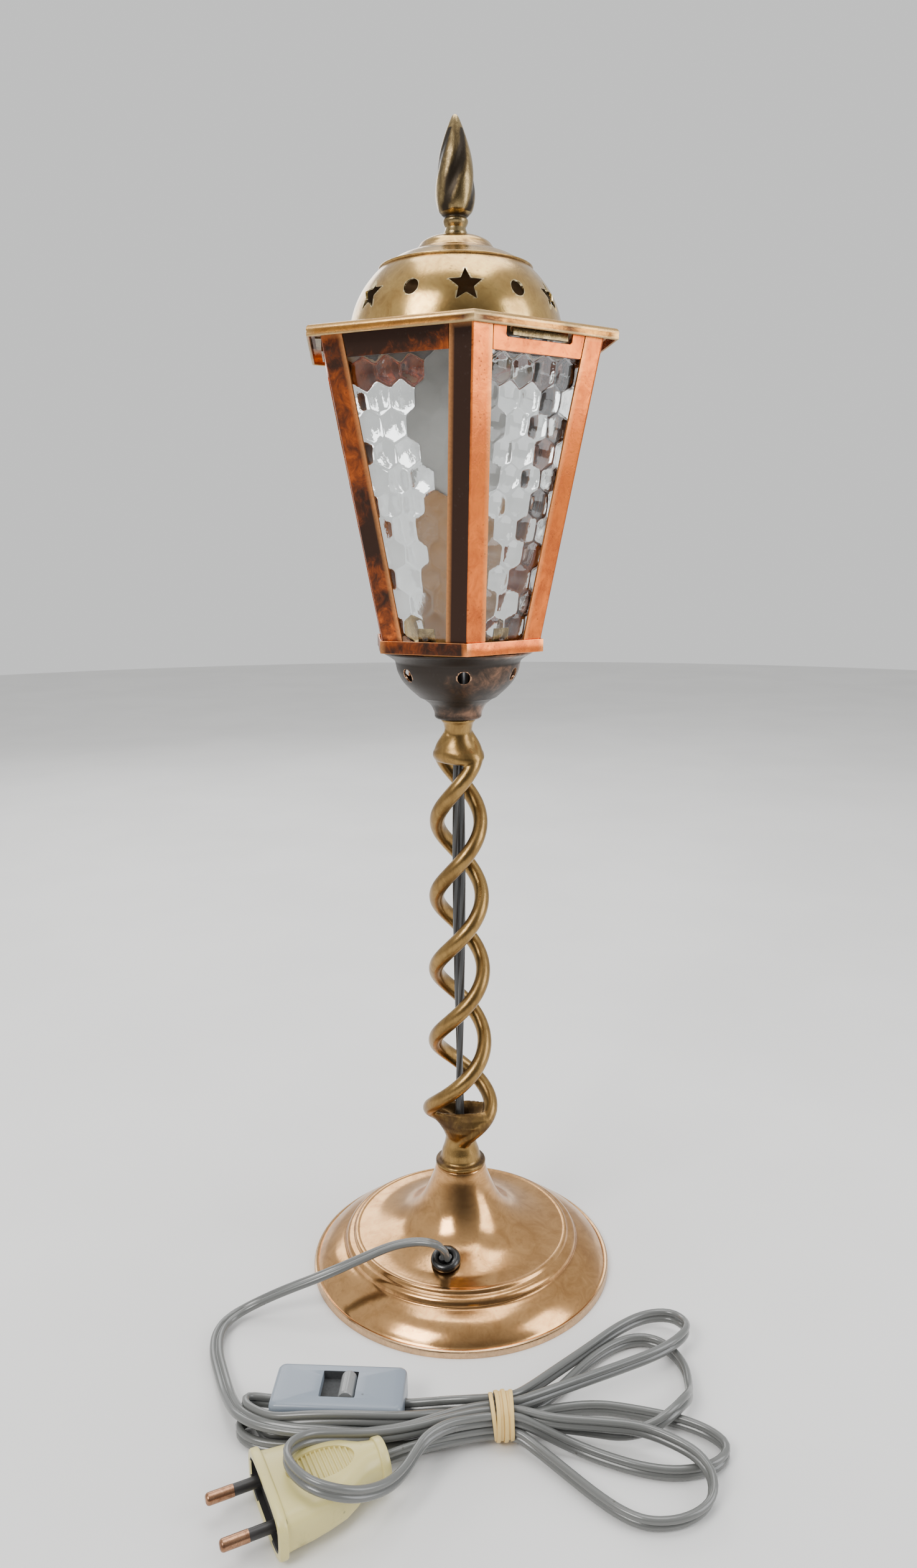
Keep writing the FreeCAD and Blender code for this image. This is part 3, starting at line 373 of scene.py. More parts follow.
HOLDER_BROWN = Moulded("holder_brown_phenolic", (196, 142, 78), (150, 98, 50), 0.28, 1500, 0.00003,
                       0.58, 0.3)
PANE_GLASS = Glass("pane_pressed_glass", (0.97, 0.985, 0.98, 1.0), 0.015)
FROSTED_GLASS = Glass("bulb_frosted_glass", (0.96, 0.95, 0.92, 1.0), 0.42, 0.55)
CERAMIC = Pressed("holder_ceramic", (226, 220, 206), (206, 198, 182), 0.3, 700, 0.00003)
CAST_IRON = Pressed("weight_cast_iron", (72, 70, 68), (46, 44, 42), 0.62, 900, 0.0003, 0.8)
FIBRE = Pressed("base_fibre_board", (96, 74, 52), (70, 52, 36), 0.8, 800, 0.0002)
FELT = Pressed("base_green_felt", (52, 78, 56), (34, 54, 38), 0.95, 2200, 0.0005)
# Painted shadow: dark plastic for the walls and floor of the switch window's well.
SHADOW_GREY = Pressed("switch_shadow_plastic", (60, 62, 64), (42, 43, 44), 0.5, 1200, 0.00004)


# ---- mesh building ------------------------------------------------------------------------------
def turns(count: int) -> list[float]:
    """Angles in radians, evenly round a circle."""
    return [math.tau * k / count for k in range(count)]


def near(value: float, centre: float, reach: float) -> float:
    """1 where the value is at the centre, falling to 0 at the given reach on either side."""
    return max(0.0, 1.0 - abs(value - centre) / reach)


def power(value: float, exponent: float) -> float:
    """The value raised to an exponent, with its sign kept."""
    return math.copysign(abs(value) ** exponent, value)


class Shape:
    """Vertices and faces in millimetres, gathered from any number of pieces, for one object."""

    def __init__(self) -> None:
        """Starts empty."""
        self.points: list[Vector] = []
        self.faces: list[tuple[int, ...]] = []
        self.ages: list[float] = []

    def rings(self, rows: Sequence[Sequence[Vector]], closed_rows: bool = True, closed_ends: bool = True,
              joined: bool = False, age: Optional[Callable[[Vector], float]] = None) -> "Shape":
        """Adds the skin over a series of rings with equal counts.

        Args:
            rows: rings of points; a ring whose points are all one point becomes a pole.
            closed_rows: whether each ring runs round to its start.
            closed_ends: whether open first and last rings are filled.
            joined: whether the last ring meets the first.
            age: the patina and painted shade value at a point.

        Returns:
            This shape.
        """
        index: list[list[int]] = []
        for row in rows:
            pole = max((row[0] - row[len(row) // 2]).length, (row[0] - row[1]).length) < TINY
            start = len(self.points)
            kept = [row[0]] if pole else list(row)
            self.points += kept
            self.ages += [age(p) if age else 0.0 for p in kept]
            index.append([start] * len(row) if pole else list(range(start, start + len(row))))
        count = len(rows[0])
        turns = count if closed_rows else count - 1
        pairs = list(zip(index, index[1:])) + ([(index[-1], index[0])] if joined else [])
        for low, high in pairs:
            for i in range(turns):
                j = (i + 1) % count
                corners = [low[i], low[j], high[j], high[i]]
                face = [c for k, c in enumerate(corners) if c != corners[k - 1]]
                if len(set(face)) >= 3:
                    self.faces.append(tuple(dict.fromkeys(face)))
        if closed_ends and not joined:
            for end, flip in ((index[0], True), (index[-1], False)):
                if end[0] != end[1]:
                    self.faces.append(tuple(reversed(end)) if flip else tuple(end))
        return self

    def lathe(self, outline: Sequence[Point2], segments: int = 160, place: Matrix = Matrix.Identity(4),
              closed: bool = True, age: Optional[Callable[[Vector], float]] = None,
              sooty_from: Optional[int] = None) -> "Shape":
        """Adds an outline of radius and height turned about the local Z axis.

        Args:
            outline: radius and height pairs, round the section.
            segments: faces round the axis.
            place: where the local frame goes.
            closed: whether the outline's last point meets its first.
            age: the patina and painted shade value at a point.
            sooty_from: the outline's point from which the surface is black with age.

        Returns:
            This shape.
        """
        first = len(self.points)
        rows = [[place @ Vector((r * math.cos(a), r * math.sin(a), z)) for a in turns(segments)]
                for r, z in outline]
        self.rings(rows, closed_ends=False, joined=closed, age=age)
        if sooty_from is not None:
            start = first + sooty_from * segments
            self.ages[start:] = [SOOT] * (len(self.ages) - start)
        return self

    def drill(self, radius: float, low: float, high: float, place: Matrix, segments: int = 40) -> "Shape":
        """Adds a solid round bar along a place's Z axis, to cut a hole with."""
        return self.lathe([(0.0, low), (radius, low), (radius, high), (0.0, high)], segments, place, False)

    def build(self, name: str, smooth_angle: float = 35.0) -> bpy.types.Object:
        """Makes the object in metres, with outward faces and smooth shading below an angle."""
        mesh = bpy.data.meshes.new(name)
        mesh.from_pydata([p * MM for p in self.points], [], self.faces)
        # Holds patina and, on the frame and cup, painted shade and reflection.
        ages = mesh.attributes.new("age", "FLOAT", "POINT")
        ages.data.foreach_set("value", self.ages)
        made = bpy.data.objects.new(name, mesh)
        bpy.context.scene.collection.objects.link(made)
        tidy(made, smooth_angle)
        return made


def tidy(piece: bpy.types.Object, smooth_angle: float = 35.0) -> None:
    """Welds doubles, turns faces outwards and shades smooth below an angle."""
    work = bmesh.new()
    work.from_mesh(piece.data)
    bmesh.ops.remove_doubles(work, verts=work.verts, dist=WELD)
    bmesh.ops.dissolve_degenerate(work, edges=work.edges, dist=WELD)
    bmesh.ops.recalc_face_normals(work, faces=work.faces)
    work.to_mesh(piece.data)
    work.free()
    piece.data.shade_smooth()
    piece.data.set_sharp_from_angle(angle=math.radians(smooth_angle))


def apply_all(piece: bpy.types.Object) -> None:
    """Turns a piece's modifiers into plain mesh."""
    graph = bpy.context.evaluated_depsgraph_get()
    graph.update()
    mesh = bpy.data.meshes.new_from_object(piece.evaluated_get(graph), depsgraph=graph)
    piece.modifiers.clear()
    piece.data = mesh


def carve(piece: bpy.types.Object, cutters: Shape, operation: str = "DIFFERENCE") -> None:
    """Cuts a piece by a shape, or joins or intersects them."""
    tool = cutters.build(piece.name + "_cutter")
    step = piece.modifiers.new("carve", "BOOLEAN")
    step.object, step.operation, step.solver = tool, operation, "EXACT"
    apply_all(piece)
    bpy.data.objects.remove(tool)
    tidy(piece)


def refine(piece: bpy.types.Object, kind: str, **settings: object) -> None:
    """Adds one modifier with its settings and applies it."""
    step = piece.modifiers.new(kind.lower(), kind)
    for key, value in settings.items():
        setattr(step, key, value)
    apply_all(piece)


def mark(piece: bpy.types.Object, name: str, values: Sequence[float]) -> None:
    """Stores one value on each vertex."""
    layer = piece.data.attributes.get(name) or piece.data.attributes.new(name, "FLOAT", "POINT")
    layer.data.foreach_set("value", values)


def mark_wear(piece: bpy.types.Object, angle: float = 40.0, amount: float = 0.8) -> None:
    """Stores a "wear" value of the given amount on vertices at convex edges sharper than an angle."""
    work = bmesh.new()
    work.from_mesh(piece.data)
    limit = math.radians(angle)
    worn = {v.index for e in work.edges if e.is_manifold and e.calc_face_angle_signed(0.0) > limit
            for v in e.verts}
    work.free()
    mark(piece, "wear", [amount if i in worn else 0.0 for i in range(len(piece.data.vertices))])


def mark_age_and_shade(piece: bpy.types.Object, age: Callable[[Vector], float]) -> None:
    """Stores the patina and painted-shade value worked out from each vertex's place in millimetres."""
    mark(piece, "age", [age(v.co / MM) for v in piece.data.vertices])


def polar(radius: float, azimuth: float, z: float = 0.0) -> Vector:
    """Point at a radius and an azimuth in degrees."""
    a = math.radians(azimuth)
    return Vector((radius * math.cos(a), radius * math.sin(a), z))


def curve(points: Sequence[Point2], steps: int = 8) -> list[Point2]:
    """Smooth outline through radius and height pairs."""
    padded = [points[0], *points, points[-1]]
    line = []
    for a, b, c, d in zip(padded, padded[1:], padded[2:], padded[3:]):
        for k in range(steps):
            t = k / steps
            line.append(tuple(0.5 * (2 * b[n] + (c[n] - a[n]) * t
                                     + (2 * a[n] - 5 * b[n] + 4 * c[n] - d[n]) * t * t
                                     + (3 * b[n] - a[n] - 3 * c[n] + d[n]) * t ** 3) for n in (0, 1)))
    return line + [points[-1]]


def eased(points: Sequence[Point2], radius: float = 0.4, closed: bool = True) -> list[Point2]:
    """Outline with its sharp corners rounded.

    Args:
        points: radius and height pairs.
        radius: how far from a corner its rounding starts, at most.
        closed: whether the outline's end meets its start.

    Returns:
        The outline, with three points at each corner sharper than 25 degrees.
    """
    line = []
    count = len(points)
    for i, p in enumerate(points):
        here = Vector(p)
        before, after = Vector(points[i - 1]) - here, Vector(points[(i + 1) % count]) - here
        kept = (not closed and i in (0, count - 1)) or p[0] < TINY or min(before.length, after.length) < TINY
        if kept or before.angle(-after) < SOFT_CORNER:
            line.append(tuple(p))
            continue
        cut = min(radius, 0.45 * before.length, 0.45 * after.length)
        first, last = here + before.normalized() * cut, here + after.normalized() * cut
        middle = here * 0.5 + (first + last) * 0.25
        line += [tuple(first), tuple(middle), tuple(last)]
    return line


def walled(outline: Sequence[Point2], wall: float, inside: Sequence[Point2] = ()) -> list[Point2]:
    """Closed section of a sheet whose outside is the outline.

    Args:
        outline: the outside, with the wall to its left.
        wall: the sheet's thickness.
        inside: a simpler inner face in the same direction, for an outside with beads as small as the wall.

    Returns:
        The section.
    """
    if inside:
        return list(outline) + list(inside)[::-1]
    inner = []
    for i, p in enumerate(outline):
        before, after = Vector(outline[max(i - 1, 0)]), Vector(outline[min(i + 1, len(outline) - 1)])
        along = (after - before).normalized()
        inner.append((max(p[0] - along.y * wall, 0.0), p[1] + along.x * wall))
    return list(outline) + inner[::-1]


def dress(piece: bpy.types.Object, body: Body, slot: str, finish: bpy.types.Material,
          *nodes: str) -> bpy.types.Object:
    """Gives a piece its finish and its body, and hides the frame nodes that it stands for."""
    piece.data.materials.clear()
    piece.data.materials.append(finish)
    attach(piece, body.value)
    if nodes:
        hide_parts(*nodes)
    LOG.info("%s: %d faces", piece.name, len(piece.data.polygons))
    return piece


# ---- routes -------------------------------------------------------------------------------------
FLEX_ROUTE = [
    (-9.4, -30.9, 21.4), (-9.9, -32.4, 25.8), (-13.4, -32.3, 28.9), (-21, -29.2, 28.6), (-32, -29, 27),
    (-44.5, -32, 23.8), (-60, -34.5, 19), (-77, -33, 12), (-90, -31.5, 5.2), (-98.5, -35.5, 3),
    (-102, -44, 3), (-101.5, -55, 3), (-98, -67, 3), (-94.8, -78, 4), (-91.8, -87, 6.5),
    (-88.5, -94.5, 8.9), (-82, -100.5, 9.5), (-70, -105.3, 10), (-55, -107.8, 10), (-40, -109.5, 10.4),
    (-28, -109.1, 11), (-16, -106.1, 11.4), (-7, -104, 11.4), (0.5, -103.4, 11.4), (8.6, -103.2, 11.4),
    # first loop to the right, on top of the others
    (16, -100.2, 10.8), (25, -96, 9.8), (38.5, -90.7, 9.2), (53.5, -85.3, 9), (67.5, -80.2, 9.2),
    (76, -75.2, 9.2), (82.5, -68.5, 8.4), (84, -61, 6), (79.8, -54.2, 5.2), (68.7, -54, 5), (56, -60.5, 5),
    (42.7, -70.8, 5.2), (25.8, -85.2, 7.6), (16, -94.4, 9.6), (8.6, -100.6, 11.4),
    # through the switch
    (0.5, -100.6, 11.4), (-6, -100.4, 11.4), (-13, -98.7, 10.2), (-22, -95.8, 7.6), (-29.3, -94.35, 6.4),
    (-53, -90.8, 6.4), (-76.7, -87.25, 6.4), (-82, -86.4, 6.9), (-86.8, -86.8, 8), (-87.2, -91.4, 8.9),
    (-83, -95.6, 9.2), (-76, -100.6, 10), (-64, -102.8, 12), (-50, -104.7, 12.6), (-37, -106.5, 12.6),
    (-28, -106.4, 11.8), (-17, -103.4, 9.2), (-8, -102, 6.3), (0.5, -100.7, 6), (8.6, -100.5, 5.9),
    # second loop to the right
    (14, -98.8, 4.9), (20.5, -94.8, 3.7), (30, -86.6, 3.2), (41.9, -75, 3.2), (54, -66.8, 3.2),
    (65, -64, 3.2), (74, -69, 3.2), (78.3, -81.5, 3.2), (76, -93.6, 3.6), (74, -99.5, 6.2),
    (70.5, -104.6, 8.8), (64.8, -109.8, 8.9), (57, -113.4, 7), (46.6, -113.8, 5), (35, -110, 4.8),
    (25, -107.6, 5.2), (16, -106.4, 5.8), (8.6, -106.2, 6),
    # fold in front of the switch
    (0.5, -106.2, 6), (-8, -106.9, 5.4), (-20, -109.4, 4.2), (-35, -110.6, 3.4), (-50, -108.6, 3.2),
    (-66, -106.4, 3.2), (-75, -105.2, 3.2), (-82.5, -103, 3.2), (-88.3, -98.2, 3.2), (-88.8, -92.3, 3.2),
    (-83.8, -90.9, 3.2), (-81, -95.3, 3.2), (-78.9, -100.6, 3.2), (-71, -101.4, 3.2), (-60, -102.9, 3.2),
    (-45, -105.1, 3.2), (-31, -107.3, 3.4), (-18, -105.4, 4.4), (-8, -104, 5.4), (0.5, -103.4, 6),
    (8.6, -103.3, 5.9),
    # third loop to the right
    (15, -101.4, 4.4), (24, -98.4, 3.4), (40, -97.6, 3.2), (53, -101.4, 3.2), (68.3, -107.3, 3.2),
    (78, -114.2, 3.2), (82, -121.9, 3.2), (75, -128.8, 3.2), (61.9, -130.5, 3.2), (50, -127.6, 3.2),
    (38.6, -121.8, 3.2), (30, -116.8, 3.6), (23, -113.6, 5.4), (16.5, -111.2, 8), (8.8, -109.1, 11),
    (0.5, -108.9, 11.4),
    # loop in front, over the plug's flex
    (-8, -110.2, 12), (-16, -112.8, 13.4), (-23.5, -117.6, 13.6), (-27.5, -123.5, 12.8),
    (-31.4, -130, 12.6), (-37, -137, 14), (-45.8, -143, 17.5), (-54.5, -144.6, 21), (-63, -141, 22),
    (-69, -133, 22), (-69.6, -125.5, 21), (-64, -119, 18.8), (-54.8, -116.4, 16), (-42.5, -114.6, 13),
    (-28, -112, 11.8), (-16, -109, 11.8), (-7, -106.9, 11.6), (0.5, -106.2, 11.4), (8.6, -106.4, 11.4),
    # fourth loop to the right
    (14, -108.4, 11.2), (22, -111.6, 10.8), (36.7, -113.9, 10.4), (52.2, -117, 10), (63, -124, 9.2),
    (68.6, -130, 8.9), (71.5, -136.5, 6.2), (68.3, -143.5, 3.4), (58.5, -148.9, 3.2), (47, -149.2, 3.2),
    (39.3, -144.9, 3.2), (31.5, -136.5, 3.2), (22.2, -124, 3.2), (14.2, -114.6, 4.2), (8.8, -109.8, 5.6),
    (0.5, -108.9, 6), (-8, -110.2, 6.4), (-16.5, -112.4, 7.4), (-28.1, -116.7, 9), (-37.5, -120.1, 9)]

INNER_ROUTE = [(-9.44, -30.87, 21.41), (-8.43, -27.58, 11.93), (-2.6, -9.0, 15.53), (0.0, 0.0, 31.43),
               (0.0, 0.0, 269.0)]


# ---- foot ---------------------------------------------------------------------------------------
@dataclass
class Foot:
    """Spun brass foot with its rim, roll, step, plate and bell, and the rubber grommet."""

    radius: float = 65.0
    step_radius: float = 51.1
    step_height: float = 11.6
    plate_radius: float = 46.2
    plate_height: float = 16.4
    bell_radius: float = 10.4
    bell_top: float = 46.4
    wall: float = 1.4
    nipple_radius: float = 5.0
    grommet_azimuth: float = -107.0
    grommet_reach: float = 31.3
    grommet_lean: float = 20.0
    grommet_radius: float = 6.2
    grommet_height: float = 3.6
    flex_radius: float = 2.75

    def outline(self) -> list[Point2]:
        """Outside of the foot from the rim's lower edge to the bell's top."""
        r, s, p, h = self.radius, self.step_radius, self.plate_radius, self.plate_height
        rim = [(r, 0.0), (r, 2.0), (r - 0.35, 2.75), (r - 0.9, 3.0), (r - 1.35, 2.85), (r - 1.7, 2.8)]
        roll = curve([(r - 2.1, 3.15), (r - 3.6, 5.0), (r - 6.0, 7.25), (r - 8.8, 9.2), (r - 11.6, 10.6),
                      (s + 0.5, 11.35), (s, self.step_height + 0.1)], 6)
        bead = curve([(s - 0.25, 12.0), (s - 0.45, 12.9), (s - 1.0, 14.0), (s - 2.0, 14.75), (s - 3.1, 15.0),
                      (s - 3.8, 15.2), (p + 0.75, 15.7), (p + 0.35, 16.3), (p - 0.1, h + 0.12),
                      (p - 0.7, h + 0.1), (p - 1.4, h)], 5)
        bell = curve([(p - 2.2, h), (38.0, h + 0.62), (30.1, h + 3.0), (24.6, h + 5.9), (20.4, h + 9.5),
                      (17.0, h + 13.9), (14.2, h + 19.3), (12.0, h + 24.8),
                      (self.bell_radius + 0.2, self.bell_top - 0.5),
                      (self.bell_radius - 0.3, self.bell_top)], 10)
        return rim + roll + bead + bell + [(self.nipple_radius, self.bell_top)]

    def grommet_place(self) -> Matrix:
        """Where the grommet's axis and middle lie."""
        base = polar(self.grommet_reach, self.grommet_azimuth, self.plate_height + 2.3)
        lean = polar(math.sin(math.radians(self.grommet_lean)), self.grommet_azimuth,
                     math.cos(math.radians(self.grommet_lean)))
        return Matrix.Translation(base) @ lean.to_track_quat("Z", "X").to_matrix().to_4x4()

    def build(self, brass: bpy.types.Material, rubber: bpy.types.Material) -> None:
        """Makes the shell and the grommet.

        Args:
            brass: the shell's finish.
            rubber: the grommet's finish.
        """
        def age(p: Vector) -> float:
            """More patina at the rim and in the step."""
            reach = math.hypot(p.x, p.y)
            rim = 0.5 * near(reach, self.radius, 1.6) * (1.0 if p.z < 2.9 else 0.4)
            return rim + 0.25 * near(reach, self.step_radius, 1.2)

        shell = Shape().lathe(walled(self.outline(), self.wall), 256, age=age).build("foot_spun_shell", 30)
        hole = self.grommet_radius - 1.2
        carve(shell, Shape().drill(hole, -8.0, 8.0, self.grommet_place(), 48))
        mark_wear(shell, 24, 0.5)
        dress(shell, Body.LAMP, "foot_brass", brass, "foot_shell")
        top, outer, bore = self.grommet_height, self.grommet_radius, self.flex_radius
        ring = [(bore, -3.0), (outer - 0.6, -3.0), (outer - 0.6, -1.8), (hole, -1.8), (hole, 0.7)]
        ring += curve([(outer - 0.3, 0.7), (outer, 1.2), (outer, 2.0), (outer - 0.5, 3.05),
                       (outer - 1.5, top),
                       (outer - 2.2, top - 0.15), (bore + 0.5, top - 0.7), (bore, top - 1.6)], 5)
        grommet = Shape().lathe(ring, 72, self.grommet_place()).build("cord_grommet_ring", 40)
        dress(grommet, Body.LAMP, "black_rubber", rubber, "cord_grommet")


# ---- stem ---------------------------------------------------------------------------------------
@dataclass
class Stem:
    """Cast brass stem: collar, neck, open double twist, hood and upper neck in one casting."""

    seat: float = 46.4
    top: float = 242.6
    twist_start: float = 72.0
    twist_end: float = 232.0
    pitch: float = 64.0
    lead_angle: float = -5.3
    rod_radius: float = 3.15
    bore: float = 3.5
    voxel: float = 0.52

    def reach(self, z: float) -> float:
        """Distance of a rod's middle from the stem's axis at a height."""
        stations = [(56.5, 2.6), (62.5, 7.2), (67.5, 11.6), (self.twist_start, 13.7), (78.0, 13.1),
                    (88.0, 11.45),
                    (104.0, 10.4), (200.0, 8.9), (227.0, 8.2), (self.twist_end, 5.8), (237.0, 2.0)]
        total = weight = 0.0
        for k in range(-4, 5):
            at = min(max(z + k * 1.3, stations[0][0]), stations[-1][0])
            for (z0, r0), (z1, r1) in zip(stations, stations[1:]):
                if at <= z1:
                    break
            total += (r0 + (r1 - r0) * (at - z0) / (z1 - z0)) * (5 - abs(k))
            weight += 5 - abs(k)
        return total / weight

    def swing(self, z: float) -> float:
        """How far the twist has turned at a height, in degrees."""
        return 360 * (z - self.twist_start) / self.pitch + self.lead_angle

    def rod(self, shape: Shape, turned: float) -> None:
        """Adds one rod of the twist, started at the given turn in degrees."""
        low, high, count = 56.5, 236.0, 190
        line = []
        for i in range(count + 1):
            z = low + (high - low) * i / count
            line.append(polar(self.reach(z), self.swing(z) + turned, z))
        rows = []
        for i, p in enumerate(line):
            along = (line[min(i + 1, count)] - line[max(i - 1, 0)]).normalized()
            out = Vector((p.x, p.y, 0.0)).normalized()
            out = (out - along * out.dot(along)).normalized()
            side = along.cross(out)
            swell = 1.0 + 0.05 * noise.noise(p * 0.06)
            rows.append([p + (out * math.cos(a) * 0.97 + side * math.sin(a) * 1.04) * self.rod_radius * swell
                         for a in turns(24)])
        shape.rings(rows)

    def flare(self, shape: Shape, levels: Sequence[tuple[float, float, float]]) -> None:
        """Adds a flared oval that turns with the rods, from (height, long, short) levels, round the bore."""
        rows = []
        for z, long, short in levels:
            turn = math.radians(self.swing(z))
            c, s = math.cos(turn), math.sin(turn)
            oval = [(long * math.cos(a), short * math.sin(a)) for a in turns(72)]
            rows.append([Vector((u * c - v * s, u * s + v * c, z)) for u, v in oval])
        shape.rings(rows, closed_ends=False, joined=True)

    def build(self, brass: bpy.types.Material) -> None:
        """Makes the casting in its finish."""
        s, t, b = self.seat, self.top, self.bore
        shape = Shape()
        for turned in (0.0, 180.0):
            self.rod(shape, turned)
        lower = eased([(b, s), (10.7, s), (10.9, s + 0.7), (10.9, s + 1.7), (10.3, s + 2.3),
                       (8.9, s + 2.5)], 0.3, False)
        lower += curve([(8.5, s + 3.4), (8.0, s + 6.2), (6.9, s + 9.6), (6.4, s + 12.9), (6.7, s + 15.2),
                        (6.9, s + 16.2)], 6) + [(b, s + 16.2)]
        upper = eased([(b, t), (6.8, t), (7.0, t - 0.3), (6.9, t - 1.1), (6.2, t - 1.6)], 0.3, False)
        upper += curve([(5.9, t - 2.4), (5.3, t - 5.9), (5.7, t - 8.4),
                        (6.2, t - 9.6)], 6) + [(b, t - 9.6)]
        shape.lathe(lower, 96).lathe(upper, 96)
        self.flare(shape, [(58.5, 6.2, 6.2), (61.0, 7.6, 6.9), (64.0, 10.0, 7.9), (67.0, 12.9, 8.4),
                           (69.5, 15.2, 8.0),
                           (71.4, 16.2, 7.2), (72.4, 15.4, 6.2), (72.0, 13.2, 5.2), (70.0, 9.5, 4.4),
                           (67.6, 5.6, 3.9),
                           (65.0, b, b), (60.0, b, b)])
        self.flare(shape, [(237.5, 5.1, 5.1), (234.5, 6.0, 5.7), (231.5, 8.2, 6.8), (229.0, 10.4, 7.8),
                           (227.0, 11.2, 8.0), (225.2, 10.8, 7.4), (224.4, 9.4, 6.2), (225.2, 7.4, 4.9),
                           (227.6, 5.0, 4.0), (231.0, b, b), (236.0, b, b)])
        stem = shape.build("stem_casting")
        refine(stem, "REMESH", mode="VOXEL", voxel_size=self.voxel * MM, use_smooth_shade=True)
        refine(stem, "SMOOTH", factor=0.5, iterations=4)

        def age(p: Vector) -> float:
            """Darker on the rods' inner sides, under the collar and in the lower flare."""
            inward = 1.0 - min(math.hypot(p.x, p.y) / max(self.reach(p.z), 4.0), 1.6)
            neck = 0.5 * near(p.z, s + 2.4, 2.0) + 0.4 * near(p.z, 66.0, 9.0)
            return max(0.0, inward * 0.5) + (neck if p.z < 80 else 0.0)
        mark_age_and_shade(stem, age)
        stem.data.shade_smooth()
        dress(stem, Body.LAMP, "stem_brass", brass, "stem_twist")


# ---- lantern ------------------------------------------------------------------------------------
@dataclass
class Lantern:
    """Cup, hexagonal band, posts, rails and the six pressed panes."""

    cup_seat: float = 242.6
    cup_wall: float = 0.8
    vent_radius: float = 2.5
    vent_rise: float = 18.6
    sheet: float = 0.8
    band_radius: float = 36.0
    band_top: float = 275.3
    rail_top: float = 383.2
    low_corner: float = 34.96
    high_corner: float = 57.9
    flange: float = 8.4
    rail_height: float = 9.0
    notch_width: float = 29.0
    notch_depth: float = 4.6
    glass: float = 2.4
    cell: float = 9.4
    dome_rise: float = 0.95

    def corner(self, z: float) -> float:
        """Distance of the posts' outer corner from the axis at a height."""
        return self.low_corner + (self.high_corner - self.low_corner) * self.rise(z)

    def rise(self, z: float) -> float:
        """Height as a share, from 0 at the band's top to 1 at the rails' top."""
        return (z - self.band_top) / (self.rail_top - self.band_top)

    def on_face(self, index: int, along: float, depth: float, z: float) -> Vector:
        """Point on a lantern face, at a distance along it and a depth behind the posts' faces."""
        azimuth = 60 * index - 60
        return polar(self.corner(z) * COS30 - depth, azimuth, z) + polar(along, azimuth + 90)

    def cup(self, copper: bpy.types.Material) -> None:
        """Spun cup with six vents."""
        z = self.cup_seat
        foot = curve([(4.2, z), (7.6, z), (8.8, z + 0.15), (9.4, z + 0.8), (9.5, z + 1.9), (9.9, z + 3.4),
                      (11.2, z + 5.8),
                      (13.4, z + 7.6), (14.6, z + 8.35)], 6)
        bowl = curve([(14.9, z + 8.5), (15.5, z + 8.7), (16.3, z + 9.4), (19.4, z + 12.2), (22.2, z + 15.4),
                      (24.0, z + 19.0), (24.7, z + 22.0), (25.0, z + 23.2), (26.0, z + 24.2),
                      (27.8, z + 25.4),
                      (29.6, z + 26.4), (30.0, z + 27.0), (30.0, z + 27.2)], 6)

        def age(p: Vector) -> float:
            """Painted shade darkens the left side; darker in the creases, brighter round the foot."""
            reach = math.hypot(p.x, p.y)
            painted_left_shade = 0.34 - 0.30 * p.x / 25.0
            crease = 0.4 * near(p.z, z + 8.4, 1.2) + 0.4 * near(p.z, z + 24, 2.0)
            foot_glow = -0.35 * near(p.z, z + 3.0, 5.0) if reach > 8.4 else 0.0
            return painted_left_shade + crease + foot_glow
        cup = Shape().lathe(walled(foot + bowl, self.cup_wall), 192, age=age).build("lantern_cup_shell", 30)
        cutters = Shape()
        for i in range(6):
            aim = Matrix.Rotation(math.radians(60 * i - 90), 4, "Z") @ Matrix.Rotation(math.radians(90), 4,
                                                                                       "Y")
            cutters.drill(self.vent_radius, 12, 40, Matrix.Translation((0, 0, z + self.vent_rise)) @ aim)
        carve(cup, cutters)
        mark_wear(cup, 50, 0.9)
        dress(cup, Body.LAMP, "cup_copper", copper, "lantern_cup")

    def hexagon(self, radius: float, z: float, per_side: int = 14, uneven: float = 0.0) -> list[Vector]:
        """Ring of points round a hexagon whose corners face the posts."""
        ring = []
        for i in range(6):
            a, b = polar(radius, 60 * i - 90, z), polar(radius, 60 * i - 30, z)
            for k in range(per_side):
                p = a.lerp(b, k / per_side)
                out = Vector((p.x, p.y, 0)).normalized()
                ring.append(p + out * uneven * noise.noise(p * 0.11))
        return ring

    def band(self, copper: bpy.types.Material) -> None:
        """Hexagonal bottom band with its inward flange."""
        r, z, top, s = self.band_radius, self.band_top - 4.9, self.band_top, self.sheet / COS30
        section = eased([(r, z), (r, top), (r - s, top), (r - s, z + 0.8), (23.0, z + 0.8), (23.0, z)], 0.3)

        def age(p: Vector) -> float:
            """Painted shade and light: brown on the left faces, salmon on the right, with random patina."""
            side = 0.55 if p.x < 0 else 0.05
            return side + 0.25 * max(0.0, noise.noise(p * 0.16))
        rows = [self.hexagon(radius, height, uneven=0.22) for radius, height in section]
        band = Shape().rings(rows, closed_ends=False, joined=True, age=age).build("lantern_bottom_band", 25)
        mark_wear(band, 20, 0.5)
        dress(band, Body.LAMP, "frame_copper", copper, "frame_base")

    def post_shade_and_patina(self, index: int, side: int, z: float, p: Vector) -> float:
        """Painted shade and reflection on one flange, with random patina: left-facing flanges dark (the front
        post's left one nearly black), right-facing ones bright.
        """
        facing = (60 * index - 90 + 30 * side) % 360
        rise = self.rise(z)
        if facing == 240:
            dark = 1.05 if index == 0 else 0.40 + 0.30 * (1 - rise)
        elif facing == 300:
            dark = -0.12 + 0.18 * (1 - rise) + (0.16 * max(0.0, rise - 0.85) / 0.15 if index == 1 else 0.0)
        else:
            dark = 0.22
        return dark + 0.16 * noise.noise(p * 0.08)

